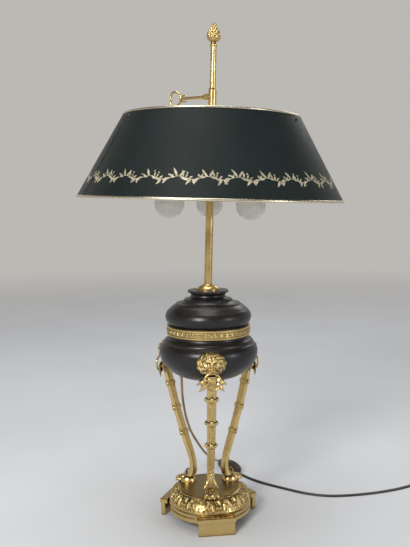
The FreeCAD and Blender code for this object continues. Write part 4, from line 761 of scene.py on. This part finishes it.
def make_masks():
    """Three lion masks modelled on a polar net, each bowed to the urn behind it."""
    profile = profile_of("urn_bowl", PROFILE_AT, *MASK_RANGE, 24)

    def urn_radius(z):
        z = min(max(z, profile[0][2]), profile[-1][2])
        for (_, r0, z0), (_, r1, z1) in zip(profile, profile[1:]):
            if z <= z1:
                return r0 + (r1 - r0) * (z - z0) / (z1 - z0)
        return profile[-1][1]

    for side, turn in SIDES:
        shape = Shape()
        rows = []
        spin = Matrix.Rotation(math.radians(turn), 3, "Z")
        for i in range(MASK_RINGS + 1):
            rho = i / MASK_RINGS
            row = []
            for j in range(MASK_AROUND):
                theta = math.tau * j / MASK_AROUND
                tall = MASK_ABOVE if math.sin(theta) > 0 else MASK_BELOW
                reach = 1 / math.hypot(math.cos(theta) / MASK_HALF_WIDTH, math.sin(theta) / tall)
                reach *= 0.90 + 0.10 * abs(math.cos(13 * (theta + 0.9) / 2)) ** 0.5
                x, z = rho * reach * math.cos(theta), rho * reach * math.sin(theta)
                height = lion_height(x, z, rho, theta) * MM
                if i == MASK_RINGS:
                    height = -0.8 * MM
                real_z = MASK_MIDDLE + z * MM
                radius = urn_radius(real_z)
                base = math.sqrt(max(radius ** 2 - (x * MM) ** 2, 0.0))
                row.append(spin @ Vector((x * MM, -(base + height), real_z)))
            rows.append(row)
        shape.grid(rows, closed=True)
        mask = shape.make("lion_head_" + side, RELIEF, "root")
        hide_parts("lion_mask_" + side)


# The legs

LEG_BOSSES = (0.2122, 0.1726, 0.1330)
LEG_PANELS = ((0.0955, 0.1250), (0.1440, 0.1615), (0.1840, 0.2010))
PANEL_HALF = 0.0031
PANEL_EDGE = 0.0003
PANEL_CORNER = 0.002
CHEVRON_LIFT = 0.0078
ANKLE_CHEVRONS = (0.0800, 0.0852)
LEG_LEAF_TOP = 0.2475
LEG_LEAVES = ((0.0, 0.0155, 0.0090, 0.0), (-0.0040, 0.0165, 0.0085, 0.85),
              (0.0040, 0.0165, 0.0085, -0.85), (-0.0020, 0.0150, 0.0080, 0.42),
              (0.0020, 0.0150, 0.0080, -0.42))


def leg_surface(side, spin):
    """A function that gives the point and normal on a leg's front at (x, z)."""
    search = tree_of("leg_" + side)
    out = spin @ Vector((0, -1, 0))

    def place(x, z):
        start = spin @ Vector((x, -0.2, z))
        return surface_at(search, start, -out, start - out * 0.12)
    return place


def make_leg_ornament():
    """Chevrons, bosses, long panels and leaves laid on the front of each leg."""
    for side, turn in SIDES:
        spin = Matrix.Rotation(math.radians(turn), 3, "Z")
        out = spin @ Vector((0, -1, 0))
        place = leg_surface(side, spin)
        shape = Shape()
        for middle in LEG_BOSSES:
            point, normal = place(0.0, middle)
            up = spin @ Vector((0, -0.28, 0.96))
            across = spin @ Vector((1, 0, 0))
            ellipsoid(shape, point, (across * 0.0033, up * 0.0046, out * 0.0019), 8, 16)
            for sense in (-1, 1):
                line = [place(x * MM, middle + sense * (CHEVRON_LIFT - abs(x) * 0.75 * MM))
                        for x in (-5.0, -3.4, -1.7, 0.0, 1.7, 3.4, 5.0)]
                tube(shape, [p + n * 0.0003 for p, n in line], 0.00085, 8)
        for low, high in LEG_PANELS:
            half, quarter = PANEL_HALF, PANEL_HALF * 0.5
            shoulder, foot = high - PANEL_CORNER, low + PANEL_CORNER
            loop = []
            for x, z in ((-half, foot), (-half, shoulder), (-quarter, high - PANEL_EDGE),
                         (0, high), (quarter, high - PANEL_EDGE), (half, shoulder),
                         (half, foot), (quarter, low + PANEL_EDGE), (0, low),
                         (-quarter, low + PANEL_EDGE), (-half, foot)):
                point, normal = place(x, z)
                loop.append(point + normal * 0.0001)
            tube(shape, loop, 0.00055, 6)
        for height in ANKLE_CHEVRONS:
            line = [place(x * MM, height + abs(x) * 0.8 * MM)
                    for x in (-4.6, -3.0, -1.5, 0.0, 1.5, 3.0, 4.6)]
            tube(shape, [p + n * 0.0003 for p, n in line], 0.0010, 8)
        for x, length, width, slant in LEG_LEAVES:
            def leaf_place(a, b, x=x, slant=slant):
                lateral = x + a * math.cos(slant) - b * math.sin(slant)
                height = LEG_LEAF_TOP - b * math.cos(slant) - a * math.sin(slant)
                return place(lateral, height)
            shape.grid(leaf_rows(leaf_place, length, width, 0.0016, lobes=3, tip=0.8))
        shape.make("leg_chasing_" + side, RELIEF, "root")
        make_acanthus(side, spin)
        make_paw(side, spin)


def free_leaf(shape, spin, root, slant, length, width, back, bow=0.003, thick=0.0010,
              droop=0.0):
    """A leaf that stands free of what is behind it, with a face and a back."""
    def place(a, b):
        x = root[0] + a * math.cos(slant) + b * math.sin(slant)
        z = root[2] - b * math.cos(slant) + a * math.sin(slant)
        t = b / length
        z -= droop * t * t
        y = root[1] + back * t * t - bow * math.sin(math.pi * min(t, 1.0))
        return spin @ Vector((x, y, z)), spin @ Vector((0, -1, 0))
    rows = leaf_rows(place, length, width, 0.0016, lobes=3, tip=0.45, depth=0.30)
    shape.grid(rows)
    behind = spin @ Vector((0, thick, 0))
    shape.grid([[p + behind for p in row][::-1] for row in rows])


# Leaves as (start, height, slant, length, width, set back) and tufts as (start, height, slant,
# length), one of each to both sides.
CHIN_LEAVES = ((0.0050, 0.2440, 1.45, 0.0185, 0.0110, 0.004),
               (0.0050, 0.2400, 1.05, 0.0165, 0.0110, 0.002))
ANKLE_TUFTS = ((0.0050, 0.0740, 0.32, 0.0100), (0.0062, 0.0690, 0.62, 0.0085))


def make_acanthus(side, spin):
    """The leaves that open to both sides under the lion's chin, behind the ring."""
    shape = Shape()
    for sense in (-1, 1):
        for start, height, slant, length, width, back in CHIN_LEAVES:
            free_leaf(shape, spin, (sense * start, -0.0800, height), sense * slant, length, width,
                      back, droop=0.0060)
    shape.make("acanthus_" + side, RELIEF, "root")


TOES = ((-0.0086, -0.0508), (-0.0030, -0.0545), (0.0030, -0.0545), (0.0086, -0.0508))
TOE_HEIGHT = 0.0540
PAW_MIDDLE = (0, -0.030, 0)


def make_paw(side, spin):
    """Toes with their knuckles and hooked claws, and the tufts above them."""
    shape = Shape()
    up = Vector((0, 0, 1))
    for x, y in TOES:
        way = (Vector((x, y, 0)) - Vector(PAW_MIDDLE)).normalized()
        side_way = up.cross(way)
        toe = Vector((x, y, TOE_HEIGHT))
        ellipsoid(shape, spin @ toe, [spin @ v for v in (
            side_way * 0.0027, way * 0.0044, up * 0.0036)], 8, 12)
        knuckle = toe - way * 0.0052 + up * 0.0040
        slope = (way - up * 0.6).normalized()
        ellipsoid(shape, spin @ knuckle, [spin @ v for v in (
            side_way * 0.0024, slope * 0.0052, side_way.cross(slope) * 0.0023)], 8, 12)
        line = [toe + way * 0.0028 + up * 0.0016, toe + way * 0.0045 + up * 0.0012,
                toe + way * 0.0056 - up * 0.0006, toe + way * 0.0058 - up * 0.0030]
        tube(shape, [spin @ p for p in line], [0.0013, 0.0014, 0.0011, 0.0003], 8)
    shape.make("paw_toes_" + side, RELIEF, "root")
    tufts = Shape()
    for sense in (-1, 1):
        for start, height, slant, length in ANKLE_TUFTS:
            free_leaf(tufts, spin, (sense * start, -0.0375, height), sense * slant, length, 0.0050,
                      -0.0050, 0.001)
    tufts.make("paw_tufts_" + side, RELIEF, "root")


# Shade and light

SHADE_LOW = 0.5115
SHADE_TALL = 0.1230
SHADE_RADII = (0.2034, 0.1352)
BORDER_SHARE = 0.222
BORDER_COUNT = 30
BORDER_WAVE = 2.3
STEM_STEPS = 12
STEM_HALF = 0.00042
# One sprig's leaves, as (along, up, heading in degrees, length, width), in mm from its middle.
SPRIG = (
    (-1.0, 2.0, 126, 13.5, 3.5), (1.2, 2.0, 60, 10.5, 3.4), (7.2, 2.2, 98, 6.5, 2.6),
    (-6.0, 1.0, 158, 8.0, 2.8), (3.0, 1.6, -18, 10.5, 3.2), (10.5, 0.6, 72, 5.6, 2.4),
    (9.5, 0.2, -30, 9.5, 3.1), (17.0, -1.6, -118, 10.5, 3.8), (19.5, -1.8, -66, 8.5, 3.2),
    (-10.5, -0.2, 206, 9.0, 3.1), (-14.0, -1.2, 238, 9.0, 3.2), (-9.5, 0.6, 70, 5.6, 2.3),
    (14.0, -0.8, 40, 6.0, 2.5), (-3.5, 1.4, 196, 6.5, 2.6), (21.5, -1.5, 15, 6.5, 2.6))
BERRIES = ((5.2, 9.4), (11.8, 7.2), (-12.6, 4.4))
BERRY_RADIUS = 0.0012
LEFT_OUT = 0.05
SEAM_TURN = -156.0
SEAM_PROUD = 0.0010
SEAM_RADIUS = 0.0006
SEAM_SHARES = (0.02, 0.98)
KEY_TURN = 142.0
KEY_NECK = 0.0590
KEY_HEIGHT = 0.6660


def make_border():
    """The leaf border painted round the shade, a sprig for every 40 mm."""
    search = tree_of("shade")
    slant = math.hypot(SHADE_RADII[0] - SHADE_RADII[1], SHADE_TALL)

    def place(turn, up):
        share = BORDER_SHARE + up / slant
        radius = SHADE_RADII[0] + (SHADE_RADII[1] - SHADE_RADII[0]) * share
        z = SHADE_LOW + SHADE_TALL * share
        out = radial(turn)
        start = LEAN @ (out * (radius + 0.03) + Vector((0, 0, z)))
        way = (LEAN.to_3x3() @ -out).normalized()
        return surface_at(search, start, way, start + way * 0.03)

    mean = SHADE_RADII[0] + (SHADE_RADII[1] - SHADE_RADII[0]) * BORDER_SHARE
    wave = math.tau * mean / BORDER_COUNT / MM
    shape = Shape()

    def stroke(middle, x, y, angle, length, width):
        """A pointed leaf laid from (x, y), in mm along the border and up it."""
        bend = rng.uniform(-0.12, 0.12)
        angle = math.radians(angle + rng.uniform(-5, 5))
        length *= rng.uniform(0.92, 1.08)
        rows = []
        for j in range(8):
            v = j / 7
            share = math.sin(math.pi * min(v ** 0.8, 1.0)) ** 0.8 if 0 < v < 1 else 0.08
            half = width / 2 * share
            row = []
            for u in (-1.0, 0.0, 1.0):
                a = v * length
                b = u * half + bend * length * v * (1 - v) * 2
                px = x + a * math.cos(angle) - b * math.sin(angle)
                py = y + a * math.sin(angle) + b * math.cos(angle)
                point, normal = place(middle + px * MM / mean, py * MM)
                row.append(point + normal * (0.00022 if u == 0 else 0.00012))
            rows.append(row)
        shape.grid(rows)

    for index in range(BORDER_COUNT):
        middle = math.tau * index / BORDER_COUNT + 0.03
        stem = []
        for step in range(STEM_STEPS + 1):
            x = wave * (step / STEM_STEPS - 0.5)
            y = BORDER_WAVE * math.cos(math.tau * step / STEM_STEPS + math.pi)
            point, normal = place(middle + x * MM / mean, y * MM)
            stem.append((point + normal * 0.00015, normal))
        rows = []
        for step, (point, normal) in enumerate(stem):
            ahead = stem[min(step + 1, STEM_STEPS)][0] - stem[max(step - 1, 0)][0]
            across = ahead.normalized().cross(normal)
            rows.append([point - across * STEM_HALF, point + across * STEM_HALF])
        shape.grid(rows)
        sway = rng.uniform(-9, 9)
        grow = rng.uniform(0.86, 1.1)
        for x, y, angle, length, width in SPRIG:
            if rng.random() > LEFT_OUT:
                along = x + rng.uniform(-0.8, 0.8)
                stroke(middle, along, y, angle + sway, length * grow, width * 0.92)
        for x, y in BERRIES:
            point, normal = place(middle + x * MM / mean, y * MM)
            side = normal.orthogonal().normalized()
            up = normal.cross(side)
            turns = [math.tau * k / 8 for k in range(8)]
            ring = [point + normal * 0.0001 + (side * math.cos(t) + up * math.sin(t)) * BERRY_RADIUS
                    for t in turns]
            shape.fan(ring, point + normal * 0.0003)
    shape.make("shade_border", LEAF, "shade_frame")


KEY_CURL = ((0.0030, 0.0), (0.0005, 0.0026), (-0.0028, 0.0045), (-0.0062, 0.0052),
            (-0.0090, 0.0046), (-0.0102, 0.0030), (-0.0092, 0.0018))
KEY_CURL_SIZES = [0.0013, 0.0013, 0.0012, 0.0011, 0.0010, 0.0009, 0.0008]


def make_key_curls():
    """The curled ends of the key's bow, which cross the shaft where it starts."""
    shape = Shape()
    turn = math.radians(KEY_TURN)
    out = LEAN.to_3x3() @ radial(turn)
    up = LEAN.to_3x3() @ Vector((0, 0, 1))
    root = LEAN @ (radial(turn) * KEY_NECK + Vector((0, 0, KEY_HEIGHT)))
    for sense in (-1, 1):
        points = [root + out * along + up * (sense * high) for along, high in KEY_CURL]
        tube(shape, points, KEY_CURL_SIZES, 8)
    shape.make("key_curls", GILT, "key")


def make_seam():
    """The lap seam of the sheet, a low ridge down the shade's left side."""
    shape = Shape()
    out = radial(math.radians(SEAM_TURN))
    points = []
    for share in SEAM_SHARES:
        radius = SHADE_RADII[0] + (SHADE_RADII[1] - SHADE_RADII[0]) * share + SEAM_PROUD
        points.append(LEAN @ (out * radius + Vector((0, 0, SHADE_LOW + SHADE_TALL * share))))
    low, high = points
    tube(shape, [low.lerp(high, step / 12) for step in range(13)], SEAM_RADIUS, 8)
    shape.make("shade_seam", SHADE, "shade_frame")


BULBS = (("left", -153.0), ("right", -33.0), ("back", 87.0))
BULB_CIRCLE = 0.0704
BULB_RADIUS = 0.0225
BULB_HEIGHT = 0.5032
BULB_NECK = ((0.00665, 0.5285), (0.00660, 0.5330), (0.00660, 0.5400))
GLASS_WALL = 0.0007


def make_bulbs():
    """Round bulbs blown in one wall, with the glass foot and its wires inside."""
    for side, turn in BULBS:
        axis = radial(math.radians(turn)) * BULB_CIRCLE
        outer = []
        for step in range(31):
            angle = math.radians(180 - 163.5 * step / 30)
            outer.append((BULB_RADIUS * math.sin(angle),
                          BULB_HEIGHT + BULB_RADIUS * math.cos(angle)))
        outer += list(BULB_NECK)
        inner = []
        for radius, z in outer:
            lift = GLASS_WALL if radius < 0.004 and z < 0.49 else 0.0
            inner.append((max(radius - GLASS_WALL, 0.0), z + lift))
        shape = Shape()
        rows = []
        for radius, z in outer + inner[::-1]:
            rows.append([LEAN @ (axis + radial(math.tau * k / 40) * radius + Vector((0, 0, z)))
                         for k in range(40)])
        shape.grid(rows, closed=True)
        bulb = shape.make("globe_" + side, GLASS, "root")
        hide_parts("bulb_" + side)
        foot = Shape()
        for radius, low, high in ((0.0042, 0.5400, 0.5200), (0.0019, 0.5205, 0.5040)):
            line = [LEAN @ (axis + Vector((0, 0, low + (high - low) * k / 4))) for k in range(5)]
            tube(foot, line, [radius * share for share in (1, 0.9, 0.8, 0.75, 0.5)], 12)
        wire = []
        for k in range(25):
            t = k / 24
            spread = 0.0085 * math.sin(math.pi * t) + 0.001
            swing = math.tau * t * 1.5
            wire.append(LEAN @ (axis + Vector((spread * math.cos(swing), spread * math.sin(swing),
                                               0.5060 - 0.006 * math.sin(math.pi * t)))))
        tube(foot, wire, 0.00025, 6)
        foot.make("bulb_foot_" + side, STEEL, "root")


SCALE_ROWS = 7
SCALE_PITCH = 0.0031
BUD_FOOT = 0.7500
BUD_RADIUS = 0.0085


def make_finial():
    """The bud's scales, laid in leaning rows over the CAD finial."""
    search = tree_of("finial")
    shape = Shape()
    axis_low = LEAN @ Vector((0, 0, BUD_FOOT))
    axis_way = (LEAN.to_3x3() @ Vector((0, 0, 1))).normalized()
    first = axis_way.orthogonal().normalized()
    second = axis_way.cross(first)
    for row in range(SCALE_ROWS):
        height = 0.0012 + row * SCALE_PITCH
        count = 10 if row < 5 else 7
        for index in range(count):
            middle = math.tau * (index + 0.5 * (row % 2)) / count

            def place(x, y, height=height, middle=middle):
                level = height + y
                centre = axis_low + axis_way * level
                turn = middle + x / BUD_RADIUS
                out = first * math.cos(turn) + second * math.sin(turn)
                point, normal = surface_at(search, centre + out * 0.05, -out, centre)
                return point, (out * 0.75 + normal * 0.25).normalized()
            shape.grid(leaf_rows(place, 0.0048, 0.0058, 0.0011, lobes=1, across=6, along=7,
                                 tip=0.9, depth=0.1))
    shape.make("finial_scales", RELIEF, "root")


# The studio

BACKDROP = (0.50, 0.485, 0.46)


FLOOR_HALF = 9.0
WORLD_STRENGTH = 0.62
WORLD_GREYS = ((0.40, 0.10), (0.56, 0.13), (0.95, 0.85))
# Each lamp as (name, place, aim, size, power, colour).
LAMPS = (
    ("key", (-1.15, -2.0, 1.55), (0, 0, 0.35), (0.7, 0.9), 52.0, (1.0, 0.985, 0.95)),
    ("fill", (1.9, -1.4, 0.9), (0, 0, 0.25), (0.5, 1.2), 12.0, (0.96, 0.98, 1.0)),
    ("back", (1.3, 2.1, 1.9), (0, 0, 0.3), (1.0, 0.8), 8.0, (1.0, 1.0, 1.0)),
    ("top", (-0.2, 0.1, 2.7), (0, 0, 0.3), (1.5, 1.5), 30.0, (1.0, 1.0, 1.0)))


def make_floor():
    """A pale floor that fades into the backdrop's colour with distance."""
    half = FLOOR_HALF
    corners = [(-half, -half, 0), (half, -half, 0), (half, half, 0), (-half, half, 0)]
    finish = Finish("pale_floor", Metallic=0.0, Specular_IOR_Level=0.25)
    cloud = finish.noise(3.0, 4.0)
    pale = finish.ramp(cloud, [(0.3, (0.55, 0.56, 0.575)), (0.7, (0.59, 0.60, 0.615))])
    finish.coat(pale, finish.between(cloud, 0.62, 0.75))
    backdrop = finish.node("Emission", {"Color": (*BACKDROP, 1.0)})
    spread = finish.node("VectorMath", {0: finish.where}, operation="LENGTH")
    fade = finish.node("MapRange", {
        "Value": spread.outputs["Value"], "From Min": 1.2, "From Max": 4.5},
        interpolation_type="SMOOTHSTEP")
    both = finish.node("MixShader", {0: fade.outputs["Result"], 1: finish.shader.outputs[0],
                                     2: backdrop.outputs[0]})
    surface = finish.tree.nodes["Material Output"].inputs["Surface"]
    finish.tree.links.new(both.outputs[0], surface)
    mesh = bpy.data.meshes.new("studio_floor")
    mesh.from_pydata(corners, [], [(0, 1, 2, 3)])
    mesh.materials.append(finish.material)
    plane = bpy.data.objects.new("studio_floor", mesh)
    scene.collection.objects.link(plane)


def make_world():
    """Soft light from above, and a plain backdrop for what the camera, metal and glass see."""
    world = bpy.data.worlds.new("studio")
    scene.world = world
    world.use_nodes = True
    tree = world.node_tree
    tree.nodes.clear()
    join = tree.links.new

    def add(kind):
        return tree.nodes.new("ShaderNode" + kind)

    output = add("OutputWorld")
    mix = add("MixShader")
    seen = add("Background")
    seen.inputs[0].default_value = (*BACKDROP, 1)
    light = add("Background")
    light.inputs[1].default_value = WORLD_STRENGTH
    path = add("LightPath")
    where = add("TexCoord")
    parts = add("SeparateXYZ")
    ramp = add("ValToRGB")
    join(where.outputs["Generated"], parts.inputs[0])

    def ranged(source, low, high, start, end, kind):
        node = add("MapRange")
        node.interpolation_type = kind
        for name, value in (("From Min", low), ("From Max", high),
                            ("To Min", start), ("To Max", end)):
            node.inputs[name].default_value = value
        join(source, node.inputs["Value"])
        return node.outputs["Result"]

    def larger(first, second):
        node = add("Math")
        node.operation = "MAXIMUM"
        join(first, node.inputs[0])
        join(second, node.inputs[1])
        return node.outputs[0]

    height = ranged(parts.outputs["Z"], -1.0, 1.0, 0.0, 1.0, "LINEAR")
    join(height, ramp.inputs["Fac"])
    points = ramp.color_ramp.elements
    points.new(WORLD_GREYS[1][0])
    for point, (at, grey) in zip(points, WORLD_GREYS):
        point.position = at
        point.color = (grey, grey, grey * 1.02, 1)
    join(ramp.outputs["Color"], light.inputs[0])
    above = ranged(parts.outputs["Z"], 0.28, 0.62, 1.0, 0.16, "SMOOTHSTEP")
    join(above, seen.inputs[1])
    shown = larger(path.outputs["Is Camera Ray"], path.outputs["Is Glossy Ray"])
    shown = larger(shown, path.outputs["Is Transmission Ray"])
    join(shown, mix.inputs["Fac"])
    join(light.outputs[0], mix.inputs[1])
    join(seen.outputs[0], mix.inputs[2])
    join(mix.outputs[0], output.inputs["Surface"])


def make_lamps():
    """Four soft area lamps."""
    for name, place, aim, size, power, tint in LAMPS:
        lamp = bpy.data.lights.new(name, "AREA")
        lamp.shape = "RECTANGLE"
        lamp.size, lamp.size_y = size
        lamp.energy = power
        lamp.color = tint
        holder = bpy.data.objects.new(name, lamp)
        scene.collection.objects.link(holder)
        way = Vector(aim) - Vector(place)
        holder.location = place
        holder.rotation_euler = way.to_track_quat("-Z", "Y").to_euler()


def make_studio():
    """A pale floor, a pale surround and soft lights."""
    make_floor()
    make_world()
    make_lamps()
    scene.view_settings.view_transform = "Standard"


make_camera()
make_braid()
make_flex()
dress_nodes()
make_studio()
make_base_relief()
make_band_relief()
make_masks()
make_leg_ornament()
make_border()
make_seam()
make_key_curls()
make_bulbs()
make_finial()

bpy.context.view_layer.update()
